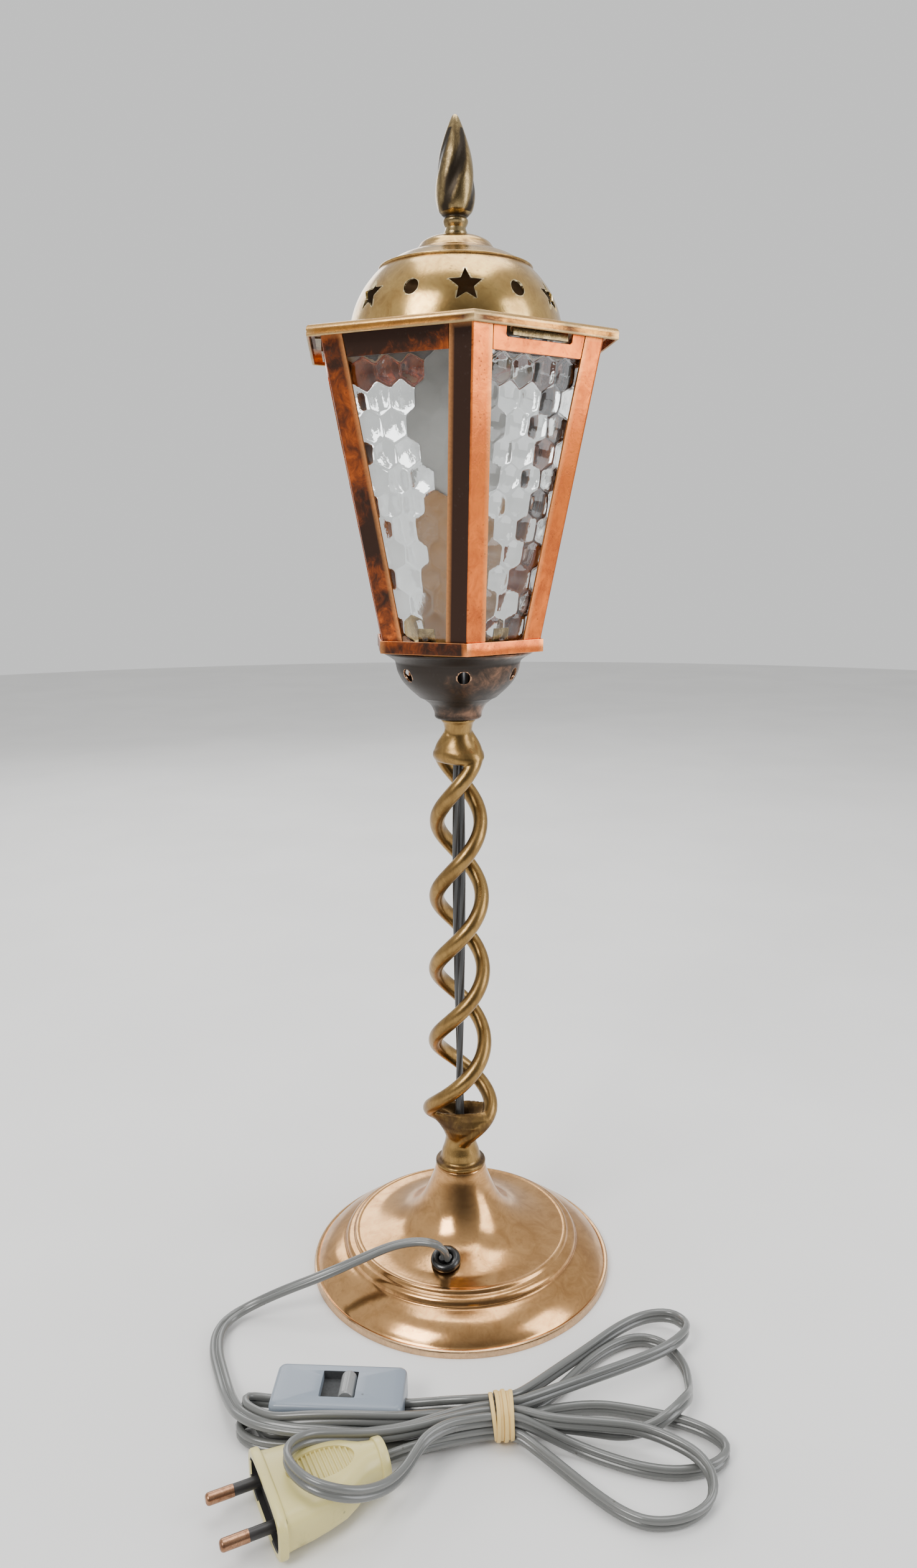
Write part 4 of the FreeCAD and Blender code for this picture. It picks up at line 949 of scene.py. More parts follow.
    def posts(self, copper: bpy.types.Material) -> None:
        """Six folded corner posts."""
        steps = 36
        low = self.band_top - 4.1
        for index in range(6):
            azimuth = 60 * index - 90
            spans = [self.flange, 6.3, 4.2, 2.1, 0.9, 0.35]
            shape = Shape()
            rows, tones = [], []
            for i in range(steps + 1):
                z = low + (self.rail_top - low) * i / steps
                tip = polar(self.corner(z), azimuth, z)
                outer, inner = [], []
                marks = [(1, d) for d in spans] + [(0, 0.0)] + [(-1, d) for d in reversed(spans)]
                for side, d in marks:
                    normal = polar(1, azimuth + 30 * side)
                    p = tip + (polar(d, azimuth + 120 * side) if side else polar(-0.12, azimuth))
                    p += normal * 0.16 * noise.noise(p * 0.07) * min(d, 4.0) / 4.0
                    outer.append(p)
                    inner.append(p - normal * (self.sheet if side else self.sheet / COS30))
                    # Painted shade and reflection: each flange's value is set by which way it faces.
                    tones.append(self.post_shade_and_patina(index, side or 1, z, p))
                rows.append(outer + inner[::-1])
            shape.rings(rows)
            half = len(marks)
            shape.ages = []
            for i in range(steps + 1):
                shape.ages += tones[i * half:(i + 1) * half] + [0.5] * half
            post = shape.build("lantern_post_%d" % (index + 1), 40)
            mark_wear(post, 45, 0.55)
            dress(post, Body.LAMP, "frame_copper", copper, "corner_post_%d" % (index + 1))

    def rails(self, copper: bpy.types.Material) -> None:
        """Six top rails; every second one is notched for a tab of the roof."""
        shape = Shape()
        low, top = self.rail_top - self.rail_height, self.rail_top
        for index in range(6):
            half_low = self.corner(low) / 2 - self.flange - 0.3
            half_top = self.corner(top) / 2 - self.flange - 0.3
            outline = [(-half_low, low), (half_low, low), (half_top, top)]
            if index % 2 == 0:
                n, d = self.notch_width / 2, top - self.notch_depth
                outline += [(n, top), (n - 0.1, d + 0.6), (n - 0.8, d), (-n + 0.8, d), (-n + 0.1, d + 0.6),
                            (-n, top)]
            outline += [(-half_top, top)]
            start, count = len(shape.points), len(outline)
            for depth in (0.02, self.sheet):
                shape.points += [self.on_face(index, a, depth, z) for a, z in outline]
            shape.ages += [0.0] * 2 * count
            shape.faces.append(tuple(range(start, start + count)))
            shape.faces.append(tuple(reversed(range(start + count, start + 2 * count))))
            for i in range(count):
                j = (i + 1) % count
                shape.faces.append((start + i, start + j, start + count + j, start + count + i))
        rails = shape.build("lantern_top_rails", 30)
        refine(rails, "BEVEL", width=0.14 * MM, segments=2, limit_method="ANGLE")

        def age(p: Vector) -> float:
            """Painted shade and light: dark brown on the left front face, clean on the right one, lighter
            along the lower edge.
            """
            index = round((math.degrees(math.atan2(p.y, p.x)) + 60) / 60) % 6
            return {5: 0.95, 0: 0.08}.get(index, 0.25) - (0.4 if p.z < low + 0.5 else 0.0)
        mark_age_and_shade(rails, age)
        dress(rails, Body.LAMP, "frame_copper", copper, "top_rails")

    def bumps(self, index: int, u: float, z: float) -> float:
        """Height of the pressed cells at a point of a pane: shallow domes packed like a honeycomb."""
        best = 1e9
        row_height = self.cell * 0.94
        row0 = round(z / row_height)
        for row in range(row0 - 1, row0 + 2):
            shift = 0.5 * self.cell if row % 2 else 0.0
            column0 = round((u - shift) / self.cell)
            for column in range(column0 - 1, column0 + 2):
                seed = Vector((column * 1.7 + 0.3, row * 2.3 + 0.6, index * 5.1 + 0.2))
                cu = column * self.cell + shift + 1.3 * noise.noise(seed)
                cz = row * row_height + 1.3 * noise.noise(seed + Vector((9.2, 4.4, 1.5)))
                size = 1.0 + 0.45 * noise.noise(seed + Vector((3.1, 8.7, 6.2)))
                best = min(best, ((u - cu) ** 2 + ((z - cz) * 0.94) ** 2) * size)
        return self.dome_rise * max(0.0, 1.0 - best / (0.62 * self.cell) ** 2)

    def panes(self, glass: bpy.types.Material) -> None:
        """Six panes with pressed cells on the outside."""
        low, top, front = self.band_top - 3.8, self.rail_top - 0.3, self.sheet + 0.3
        columns, levels = 60, 118
        for index in range(6):
            shape = Shape()
            rows = []
            for i in range(levels + 1):
                z = low + (top - low) * i / levels
                half = ((self.corner(z) * COS30 - front) - self.glass) / COS30 / 2 - 0.7
                edge = min(1.0, (z - low) / 2.0, (top - z) / 2.0)
                outer = []
                for k in range(columns + 1):
                    u = half * (2 * k / columns - 1)
                    rim = min(edge, (half - abs(u)) / 1.5, 1.0)
                    depth = front + self.dome_rise - self.bumps(index, u, z - low) * max(rim, 0.0)
                    outer.append(self.on_face(index, u, depth, z))
                back = [self.on_face(index, half * (1 - 2 * k / columns), front + self.glass, z)
                        for k in range(columns + 1)]
                rows.append(outer + back)
            shape.rings(rows)
            pane = shape.build("lantern_pane_%d" % (index + 1), 60)
            dress(pane, Body.LAMP, "pane_glass", glass, "glass_pane_%d" % (index + 1))

    def build(self, copper: bpy.types.Material, dark: bpy.types.Material, glass: bpy.types.Material) -> None:
        """Makes the whole lantern head.

        Args:
            copper: finish of band, posts and rails.
            dark: finish of the cup.
            glass: finish of the panes.
        """
        self.cup(dark)
        self.band(copper)
        self.posts(copper)
        self.rails(copper)
        self.panes(glass)


# ---- roof ---------------------------------------------------------------------------------------
@dataclass
class Roof:
    """Hexagonal pan, star-pierced dome and twisted finial."""

    pan_radius: float = 63.3
    pan_low: float = 380.9
    pan_top: float = 384.9
    plate_low: float = 384.0
    opening: float = 33.0
    wall: float = 0.8
    brim_radius: float = 43.2
    star_radius: float = 6.2
    star_waist: float = 0.45
    hole_radius: float = 2.75
    hole_height: float = 397.5
    finial_seat: float = 421.0
    finial_height: float = 41.5
    flutes: int = 4
    swirl: float = 105.0

    def pan(self, brass: bpy.types.Material, lantern: Lantern) -> None:
        """Hexagonal pan with a rounded bead round its rim."""
        r, low, top, w = self.pan_radius, self.pan_low, self.pan_top, self.wall + 0.1
        outline = [(r - 0.5, low), (r - 0.1, low + 0.25), (r - 0.05, low + 0.9)]
        outline += [(r - 0.2, low + 1.6), (r - 0.05, top - 2.0), (r - 0.02, top - 1.5), (r - 0.25, top - 0.8),
                    (r - 0.8, top - 0.25), (r - 1.6, top - 0.02), (r - 2.5, top - 0.15),
                    (r - 3.3, top - 0.45),
                    (r - 9.0, top - 0.3), (self.opening + 11.0, top), (self.opening + 0.3, top),
                    (self.opening, top - 0.3)]
        inner = [(self.opening, self.plate_low + 0.2), (self.opening + 0.3, self.plate_low),
                 (r - 3.0, self.plate_low - 0.02), (r - 1.6, self.plate_low - 0.35),
                 (r - w - 0.35, top - 2.2),
                 (r - w - 0.3, low + 0.9), (r - w - 0.3, low + 0.2), (r - w, low)]
        rows = []
        for radius, z in outline + inner:
            hexed = lantern.hexagon(radius, z, 16, 0.12)
            if radius < self.opening + 12.0:
                blend = max(0.0, min(1.0, (self.opening + 12.0 - radius) / 11.0))
                hexed = [p.lerp(Vector((p.x, p.y, 0)).normalized() * radius + Vector((0, 0, z)),
                                blend) for p in hexed]
            rows.append(hexed)

        def age(p: Vector) -> float:
            """Sooty inside, streaked brown on the rim, darker along a seam at the front and towards the lower
            edge.
            """
            if p.z < self.plate_low + 0.3 and math.hypot(p.x, p.y) < (r - 1.2) * 0.87:
                return 0.9
            streak = 0.15 + 0.5 * max(0.0, noise.noise(Vector((p.x * 0.10, p.y * 0.10, 3.0))))
            seam = 0.35 * near(p.x, -1.5, 3.0) if p.y < 0 else 0.0
            return streak + seam + 0.28 * max(0.0, 1.0 - (p.z - low) / 1.1)
        pan = Shape().rings(rows, closed_ends=False, joined=True, age=age).build("roof_pan_shell", 30)
        mark_wear(pan, 18, 0.4)
        dress(pan, Body.ROOF, "roof_brass", brass, "roof_pan")

    def dome_outline(self) -> list[Point2]:
        """Outside of the dome from its brim to its cap."""
        z = self.pan_top
        skirt = [(self.brim_radius, z), (self.brim_radius + 0.05, z + 0.45),
                 (self.brim_radius - 0.4, z + 0.78)]
        skirt += [(40.8, z + 0.85), (40.0, z + 1.1), (39.75, z + 1.8)]
        bowl = curve([(39.7, z + 2.4), (39.1, z + 6.4), (37.9, z + 10.6), (36.2, z + 14.4), (34.0, z + 18.0),
                      (31.2, z + 21.5), (29.0, z + 23.7), (28.3, z + 24.5)], 8)
        brim = curve([(28.5, z + 24.75), (28.6, z + 25.15), (28.1, z + 25.5), (27.4, z + 25.6)], 5)
        cap = curve([(26.6, z + 25.75), (22.0, z + 28.4), (18.6, z + 29.8), (15.7, z + 30.7),
                     (14.1, z + 32.3),
                     (12.6, z + 34.1), (9.8, z + 35.5), (6.6, z + 36.0), (2.4, z + 36.1)], 8)
        return skirt + bowl + brim + cap

    def dome_inside(self) -> list[Point2]:
        """Inner face of the dome, without the beads."""
        z = self.pan_top
        cone = curve([(42.3, z), (39.6, z + 0.1), (38.9, z + 1.2), (38.8, z + 3.0), (38.2, z + 6.4),
                      (37.0, z + 10.4), (35.4, z + 14.0),
                      (33.2, z + 17.5), (30.5, z + 20.9), (28.3, z + 23.1), (27.5, z + 24.0)], 5)
        return cone + curve([(26.3, z + 24.9), (21.6, z + 27.5), (18.2, z + 28.9), (15.2, z + 29.9),
                             (13.4, z + 31.6),
                             (12.0, z + 33.3), (9.4, z + 34.6), (6.5, z + 35.2), (2.4, z + 35.3)], 6)

    def dome(self, brass: bpy.types.Material) -> None:
        """Spun dome pierced by six stars and six holes."""
        z0 = self.pan_top

        def age(p: Vector) -> float:
            """Brown at the brim, below the cap and round the stud."""
            reach = math.hypot(p.x, p.y)
            low = 0.3 * max(0.0, 1.0 - (p.z - z0) / 3.5)
            cap = 0.35 * near(p.z, z0 + 24.4, 1.1) + 0.3 * near(p.z, z0 + 31.5, 2.0)
            return low + cap + (0.45 if reach < 5 else 0.0)
        outside = self.dome_outline()
        section = walled(outside, self.wall, self.dome_inside())
        dome = Shape().lathe(section, 240, age=age, sooty_from=len(outside) + 1).build("roof_dome_shell", 25)
        cutters = Shape()
        aside = 20.0    # keeps the outline off the axis, where corners stay sharp
        for i in range(6):
            for azimuth, star in ((60 * i - 90, True), (60 * i - 60, False)):
                aim = Matrix.Translation((0, 0, self.hole_height)) @ Matrix.Rotation(math.radians(azimuth),
                                                                                     4, "Z")
                outline = []
                count = 10 if star else 36
                for k, a in enumerate(turns(count)):
                    point = self.star_radius * (self.star_waist if k % 2 else 1.0)
                    reach = point if star else self.hole_radius
                    outline.append((reach * math.sin(a) + aside, reach * math.cos(a)))
                outline = [(u - aside, v) for u, v in (eased(outline, 0.35) if star else outline)]
                rows = [[aim @ Vector((reach, u, v)) for u, v in outline] for reach in (28.0, 46.0)]
                cutters.rings(rows)
        carve(dome, cutters)
        mark_wear(dome, 50, 1.0)
        dress(dome, Body.ROOF, "dome_brass", brass, "roof_dome")

    def finial(self, brass: bpy.types.Material) -> None:
        """Cast finial: collar, neck and a swirled bud."""
        z, h = self.finial_seat, self.finial_height
        outline = eased([(0.0, z), (4.2, z), (4.4, z + 0.4), (4.4, z + 1.6), (4.0, z + 2.4)], 0.2, False)
        outline += curve([(3.75, z + 0.08 * h), (4.5, z + 0.115 * h), (4.65, z + 0.14 * h),
                          (4.2, z + 0.165 * h),
                          (5.2, z + 0.19 * h), (6.25, z + 0.22 * h), (7.1, z + 0.29 * h),
                          (7.45, z + 0.38 * h),
                          (7.2, z + 0.50 * h), (5.9, z + 0.67 * h), (4.4, z + 0.79 * h), (2.7, z + 0.90 * h),
                          (1.5, z + 0.965 * h), (0.7, z + 0.992 * h), (0.0, z + h)], 7)
        start, end = z + 0.19 * h, z + 0.97 * h
        rows, tones = [], {}
        for r, level in outline:
            t = min(max((level - start) / (end - start), 0.0), 1.0)
            depth = 0.12 * math.sin(math.pi * min(t * 1.12, 1.0)) ** 0.6
            row = []
            for a in turns(144):
                wave = 0.5 + 0.5 * math.cos(self.flutes * (a - math.radians(self.swirl) * t))
                groove = (1 - wave) ** 2.2
                p = polar(r * (1 - depth * groove), math.degrees(a), level)
                tones[(round(p.x, 4), round(p.y, 4), round(p.z,
                                                           4))] = 0.55 * groove * (1 if depth > 0.02 else 0)
                row.append(p)
            rows.append(row)
        lift = Shape().rings(rows, age=lambda p: tones.get((round(p.x, 4), round(p.y, 4), round(p.z, 4)), 0.0)
                             + 0.5 * near(p.z, z + 0.17 * h, 1.2))
        dress(lift.build("finial_bud", 40), Body.ROOF, "finial_brass", brass, "finial")

    def build(self, pan: bpy.types.Material, dome: bpy.types.Material, bud: bpy.types.Material,
              lantern: Lantern) -> None:
        """Makes pan, dome and finial in their three finishes on the lantern's hexagon."""
        self.pan(pan, lantern)
        self.dome(dome)
        self.finial(bud)


# ---- bulb ---------------------------------------------------------------------------------------
@dataclass
class Bulb:
    """Candle bulb's glass envelope, standing in its cap."""

    seat: float = 322.0
    neck_radius: float = 6.4
    belly_radius: float = 17.5
    tip: float = 397.4
    wall: float = 0.6

    def build(self, glass: bpy.types.Material) -> None:
        """Makes the envelope in its glass."""
        z, reach = self.seat, self.tip - self.seat
        outline = curve([(self.neck_radius, z), (self.neck_radius + 0.3, z + 0.03 * reach),
                         (9.4, z + 0.10 * reach),
                         (13.7, z + 0.20 * reach), (16.6, z + 0.31 * reach),
                         (self.belly_radius, z + 0.42 * reach),
                         (16.7, z + 0.54 * reach), (13.6, z + 0.69 * reach), (8.9, z + 0.83 * reach),
                         (4.4, z + 0.94 * reach), (1.9, z + 0.985 * reach), (0.3, z + reach - 0.1)], 8)
        envelope = Shape().lathe(walled(outline, self.wall), 128).build("bulb_envelope", 60)
        dress(envelope, Body.BULB, "bulb_frosted", glass, "bulb_glass")


# ---- flex, band ---------------------------------------------------------------------------------
@dataclass
class Flex:
    """Twin flex: two round cores side by side, joined by a thin web."""

    core: float = 1.35
    apart: float = 1.35
    web: float = 0.55
    station: float = 1.9
    upright: float = 0.10

    def centreline(self, points: Sequence[tuple[float, float, float]], name: str,
                   fineness: int = 14) -> list[Vector]:
        """Points in millimetres along the smooth spline with the given control points."""
        data = bpy.data.curves.new(name, "CURVE")
        data.dimensions = "3D"
        spline = data.splines.new("NURBS")
        spline.points.add(len(points) - 1)
        for knot, p in zip(spline.points, points):
            knot.co = (p[0] * MM, p[1] * MM, p[2] * MM, 1.0)
        spline.order_u = 3
        spline.use_endpoint_u = True
        spline.resolution_u = fineness
        guide = bpy.data.objects.new(name, data)
        bpy.context.scene.collection.objects.link(guide)
        graph = bpy.context.evaluated_depsgraph_get()
        mesh = bpy.data.meshes.new_from_object(guide.evaluated_get(graph), depsgraph=graph)
        line = [v.co / MM for v in mesh.vertices]
        bpy.data.objects.remove(guide)
        kept = [line[0]]
        for p in line[1:-1]:
            if (p - kept[-1]).length >= self.station and (p - line[-1]).length > self.station * 0.6:
                kept.append(p)
        return kept + [line[-1]]

    def section(self) -> list[Point2]:
        """Outline of the flex, wide along the first axis."""
        gap = math.degrees(math.asin(min(self.web / self.core, 1.0)))
        right = [(self.apart + self.core * math.cos(math.radians(a)), self.core * math.sin(math.radians(a)))
                 for a in (-180 + gap + (360 - 2 * gap) * k / 12 for k in range(13))]
        return right + [(-x, -y) for x, y in right]

    def sweep(self, line: Sequence[Vector], wide: Vector, name: str, twist: float = 0.0,
              flat: float = 0.0) -> bpy.types.Object:
        """Carries the section along a line, its wide axis drawn towards upright as it goes.

        Args:
            line: stations in millimetres.
            wide: direction of the wide axis at the start.
            name: the piece's name.
            twist: turn in degrees per millimetre, instead of the pull towards upright.
            flat: the first stretch in millimetres, where the flex lies flat instead.

        Returns:
            The flex.
        """
        rows, outline, gone = [], self.section(), 0.0
        for i, p in enumerate(line):
            along = (line[min(i + 1, len(line) - 1)] - line[max(i - 1, 0)]).normalized()
            wide = wide - along * wide.dot(along)
            wide.normalize()
            gone += (p - line[max(i - 1, 0)]).length
            aim = along.cross(Vector((0, 0, 1))) if gone < flat else Vector((0, 0, 1))
            target = aim - along * aim.dot(along)
            if twist:
                step = (p - line[max(i - 1, 0)]).length
                wide = Matrix.Rotation(math.radians(twist * step), 3, along) @ wide
            elif target.length > 0.35:
                target.normalize()
                target = target if target.dot(wide) >= 0 else -target
                wide = (wide + target * self.upright).normalized()
            across = along.cross(wide)
            rows.append([p + wide * u + across * v for u, v in outline])
        return Shape().rings(rows).build(name, 50)


@dataclass
class Cord:
    """The free flex from the grommet to the plug, in its hank."""

    route: Sequence[tuple[float, float, float]] = ()
    flat: float = 195.0

    def build(self, flex: Flex, finish: bpy.types.Material) -> tuple[bpy.types.Object, list[Vector], float]:
        """Makes the flex and returns it with its centreline and its length in metres."""
        line = flex.centreline(self.route, "flex_route")
        length = sum((b - a).length for a, b in zip(line, line[1:])) * MM
        cord = flex.sweep(line, Vector((0.5, -1.0, 0.0)), "mains_flex", flat=self.flat)
        dress(cord, Body.LAMP, "grey_flex", finish, "flex_lead", "flex_hank", "flex_front_loop",
              "flex_plug_lead")
        LOG.info("flex length %.3f m in %d stations", length, len(line))
        return cord, line, length


@dataclass
class Band:
    """Rubber band wound round the hank in uneven turns."""

    middle: tuple[float, float] = (-104.8, 8.7)
    low: float = 0.3
    high: float = 8.8
    inner: float = 6.75
    turns: int = 6
    thickness: float = 0.8
    width: float = 1.5

    def build(self, finish: bpy.types.Material) -> bpy.types.Object:
        """Makes the wraps in their finish."""
        shape = Shape()
        y0, z0 = self.middle
        for turn in range(self.turns):
            start = self.low + 1.05 + (self.high - self.low - 2.1) * turn / (self.turns - 1)
            lean = 1.5 * noise.noise(Vector((turn * 2.7, 0.4, 1.9)))
            lift = (0.0, 0.55, 0.1, 0.7, 0.05, 0.4)[turn % 6]
            rows = []
            for a in turns(96):
                square = 1.0 / (abs(math.cos(a)) ** 3.6 + abs(math.sin(a)) ** 3.6) ** (1 / 3.6)
                stray = 0.12 * noise.noise(Vector((a * 1.3, turn, 0)))
                reach = self.inner * (0.86 + 0.14 * square) + lift + stray
                out = Vector((0, math.cos(a), math.sin(a)))
                middle = Vector((start + lean * math.sin(a + turn), y0 + reach * out.y, z0 + reach * out.z))
                side = Vector((1, 0, 0.0))
                rows.append([middle + side * power(math.cos(b), 0.6) * self.width / 2
                             + out * (power(math.sin(b), 0.7) + 1.0) * self.thickness / 2 for b in turns(16)])
            shape.rings(rows, closed_ends=False, joined=True)
        band = shape.build("rubber_band_wraps", 50)
        return dress(band, Body.LAMP, "band_rubber", finish, "rubber_band")


# ---- switch -------------------------------------------------------------------------------------
@dataclass
class Switch:
    """Inline slide switch: base, cover with a square window, and its half-round slider."""

    centre: tuple[float, float] = (-53.0, -90.8)
    turn: float = -8.5
    length: float = 48.0
    width: float = 22.0
    low: float = 0.3
    split: float = 6.4
    top: float = 15.0
    corner: float = 2.6
    window_length: float = 12.9
    window_width: float = 12.7
    knob_length: float = 6.0
    knob_width: float = 11.0
    knob_rise: float = 1.2
    mouth_radius: float = 2.9

    def place(self) -> Matrix:
        """Frame of the switch, its length along local X."""
        return Matrix.Translation((*self.centre, 0)) @ Matrix.Rotation(math.radians(self.turn), 4, "Z")

    @staticmethod
    def rounded(hx: float, hy: float, c: float, steps: int) -> list[Point2]:
        """Oblong of the given half sizes with corners of radius c."""
        ring = []
        for sx, sy, start in ((1, 1, 0), (-1, 1, 90), (-1, -1, 180), (1, -1, 270)):
            for k in range(steps + 1):
                a = math.radians(start + 90 * k / steps)
                ring.append((sx * (hx - c) + c * math.cos(a), sy * (hy - c) + c * math.sin(a)))
        return ring

    def block(self, levels: Sequence[tuple[float, float]], arch: float = 0.0) -> Shape:
        """Rounded block from (height, inset) levels, its top arched by an amount."""
        place, rows = self.place(), []
        hx, hy = self.length / 2, self.width / 2
        for z, inset in levels:
            c = max(self.corner - inset * 0.5, 0.4)
            ring = []
            for x, y in self.rounded(hx - inset, hy - inset, c, 8):
                bow = arch * 3.2 * (1 - (x / hx) ** 2) - arch * 2.2 if z > self.split + 1 else 0.0
                ring.append(Vector((x, y, z + bow * (z - self.split) / (self.top - self.split))))
            rows.append(ring)
        if arch:
            last = rows.pop()
            centre_z = levels[-1][0]
            for share in (1.0, 0.9, 0.7, 0.45, 0.2):
                crown = []
                for p in last:
                    rise = arch * (1 - share ** 2) + arch * (3.2 * (1 - (p.x * share / hx) ** 2) - 2.2)
                    crown.append(place @ Vector((p.x * share, p.y * share, centre_z + rise)))
                rows.append(crown)
            rows = [[place @ p for p in row] for row in rows[:len(levels) - 1]] + rows[len(levels) - 1:]
        else:
            rows = [[place @ p for p in row] for row in rows]
        return Shape().rings(rows)

    def mouth(self, z: float) -> Shape:
        """Short bores for the flex at both ends."""
        place = self.place() @ Matrix.Translation((0, 0, z)) @ Matrix.Rotation(math.radians(90), 4, "Y")
        shape = Shape()
        end = self.length / 2
        for low, high in ((-end - 2, -end + 3.5), (end - 3.5, end + 2)):
            shape.drill(self.mouth_radius, low, high, place)
        return shape

    def build(self, grey: bpy.types.Material, knob: bpy.types.Material) -> list[bpy.types.Object]:
        """Makes base, cover and slider.

        Args:
            grey: finish of base and cover.
            knob: finish of the slider.

        Returns:
            The three pieces.
        """
        base = self.block([(self.low, 0.9), (self.low + 0.3, 0.4), (self.low + 0.9, 0.12),
                           (self.split - 0.5, 0.0),
                           (self.split - 0.15, 0.06), (self.split, 0.35)]).build("switch_base_half", 30)
        carve(base, self.mouth(self.split))
        cover = self.block([(self.split, 0.35), (self.split + 0.15, 0.06), (self.split + 0.5, 0.0),
                            (self.top - 2.2, 0.1),
                            (self.top - 1.35, 0.25), (self.top - 0.8, 0.6), (self.top - 0.42, 1.1),
                            (self.top - 0.25, 1.9)], arch=0.25).build("switch_cover_half", 30)
        carve(cover, self.mouth(self.split))
        hx, hy = self.window_length / 2, self.window_width / 2
        place = self.place()
        well = [[place @ Vector((x, y, z)) for x, y in self.rounded(hx, hy, 0.4, 4)]
                for z in (self.top - 3.6, self.top + 2.0)]
        carve(cover, Shape().rings(well))
        refine(cover, "BEVEL", width=0.16 * MM, segments=2, limit_method="ANGLE",
               angle_limit=math.radians(50))
        tidy(cover, 30)
        shade = SHADOW_GREY.make()
        pieces = [dress(base, Body.LAMP, "switch_plastic", grey, "switch_base"),
                  dress(cover, Body.LAMP, "switch_plastic", grey, "switch_cover")]
        cover.data.materials.append(shade)
        inverse = place.inverted()
        # Painted shadow: faces in the window well, above the seam, get the dark shadow plastic.
        for face in cover.data.polygons:
            spot = inverse @ (face.center / MM)
            if abs(spot.x) < hx + 0.1 and abs(spot.y) < hy + 0.1 and spot.z < self.top - 0.9:
                face.material_index = 1 if spot.z > self.split + 0.8 else 0
        return pieces + [self.slider(knob)]

    def slider(self, finish: bpy.types.Material) -> bpy.types.Object:
        """Half-round knob, ribbed a little across its crown."""
        place = self.place()
        x0, z0 = 0.1, self.top - 3.0
        shape, rows = Shape(), []
        crown = self.top + self.knob_rise
        steps = 40
        for side in range(25):
            y = -self.knob_width / 2 + self.knob_width * side / 24
            edge = min(1.0, (self.knob_width / 2 - abs(y)) / 0.7)
            ring = []
            for k in range(steps + 1):
                a = math.pi * k / steps
                rib = 0.05 * math.cos(18 * a)
                reach = (self.knob_length / 2) * (0.86 + 0.14 * math.sqrt(max(edge, 0.0)))
                rise = (crown - z0) * (0.93 + 0.07 * math.sqrt(max(edge, 0.0)))
                ring.append(place @ Vector((x0 + self.knob_length / 2 + reach * math.cos(a), y,
                                            z0 + (rise + rib * edge) * math.sin(a) ** 0.7)))
            rows.append(ring)
        shape.rings(rows)
        return dress(shape.build("switch_slide_knob", 40), Body.SLIDER, "switch_plastic", finish,
                     "switch_slider")


# ---- plug ---------------------------------------------------------------------------------------
@dataclass
class Plug:
    """Flat two-pin plug with a ribbed oval grip and a black face."""

    corner: tuple[float, float, float] = (-77.0, -134.5, 9.0)
    turn: float = 200.0
    recess_length: float = 16.1
    recess_width: float = 6.3
    grip_middle: float = 19.5
    ribs: int = 13
    rib_pitch: float = 1.62

    def place(self) -> Matrix:
        """Frame of the plug: local -X runs back along the flex, Y across and Z up."""
        return Matrix.Translation(self.corner) @ Matrix.Rotation(math.radians(self.turn), 4, "Z")

    def ring(self, back: float, half_width: float, half_height: float, square: float) -> list[Vector]:
        """Section at a distance back from the face; an exponent of 1 is an oval, less is squarer."""
        place = self.place()
        return [place @ Vector((-back, half_width * power(math.cos(a), square),
                                half_height * power(math.sin(a), square))) for a in turns(72)]

    def oval(self, up_low: float, up_high: float) -> Shape:
        """Upright oval over the grip, with its lower and upper height."""
        place = self.place()
        return Shape().rings([[place @ Vector((self.recess_length * math.cos(a) * 0.72 - self.grip_middle,
                                               self.recess_width * math.sin(a), up)) for a in turns(64)]
                              for up in (up_low, up_high)])

    def build(self, cream: bpy.types.Material, black: bpy.types.Material) -> bpy.types.Object:
        """Makes the moulded body, black inside its face."""
        loft = [(0.0, 17.9, 8.1, 0.50), (0.25, 18.35, 8.55, 0.48), (0.8, 18.5, 8.7, 0.46),
                (2.6, 18.5, 8.7, 0.46),
                (3.0, 18.35, 8.55, 0.47), (3.25, 17.7, 8.1, 0.5), (3.5, 17.1, 7.9, 0.52),
                (6.0, 16.8, 7.85, 0.54),
                (12.0, 16.3, 7.8, 0.56), (18.0, 15.3, 7.7, 0.6), (24.0, 13.7, 7.6, 0.64),
                (28.5, 11.2, 7.4, 0.7),
                (32.0, 8.8, 7.2, 0.78), (34.5, 7.5, 7.0, 0.86), (37.0, 7.0, 6.8, 0.94), (38.7, 6.9, 6.7, 1.0),
                (39.0, 7.5, 7.2, 1.0), (39.3, 7.65, 7.35, 1.0), (41.4, 7.5, 7.25, 1.0),
                (41.85, 7.2, 7.0, 1.0),
                (42.0, 6.7, 6.5, 1.0)]
        loft = [(4.2, 16.1, 6.3, 0.5), (0.5, 16.1, 6.3, 0.5), (0.1, 16.5, 6.7, 0.5), *loft]
        rows = [self.ring(*level) for level in loft]
        rows.append(self.ring(42.0, 3.3, 2.2, 1.0))
        rows.append(self.ring(39.5, 3.1, 2.0, 1.0))
        body = Shape().rings(rows).build("plug_moulded_body", 32)
        carve(body, self.oval(6.3, 12.0))
        ribs, place = Shape(), self.place()
        for k in range(self.ribs):
            offset = (k - (self.ribs - 1) / 2) * self.rib_pitch
            along = offset / (self.recess_length * 0.72)
            half = self.recess_width * math.sqrt(max(1 - along * along, 0.0)) + 0.15
            if half < 1.2:
                continue
            outline = [(-0.42, 5.8), (0.42, 5.8), (0.36, 6.75), (0.2, 6.98), (0.0, 7.05), (-0.2, 6.98),
                       (-0.36, 6.75)]
            ribs.rings([[place @ Vector((u - self.grip_middle - offset, y, up)) for u, up in outline]
                        for y in (-half, half)])
        carve(body, ribs, "UNION")
        tidy(body, 32)
        dress(body, Body.LAMP, "plug_cream", cream, "plug_body")
        body.data.materials.append(black)
        inverse = place.inverted()
        for face in body.data.polygons:
            spot = inverse @ (face.center / MM)
            face.material_index = int(-4.3 < spot.x < -0.2 and abs(spot.y) < 16.2 and abs(spot.z) < 6.4)
        return body


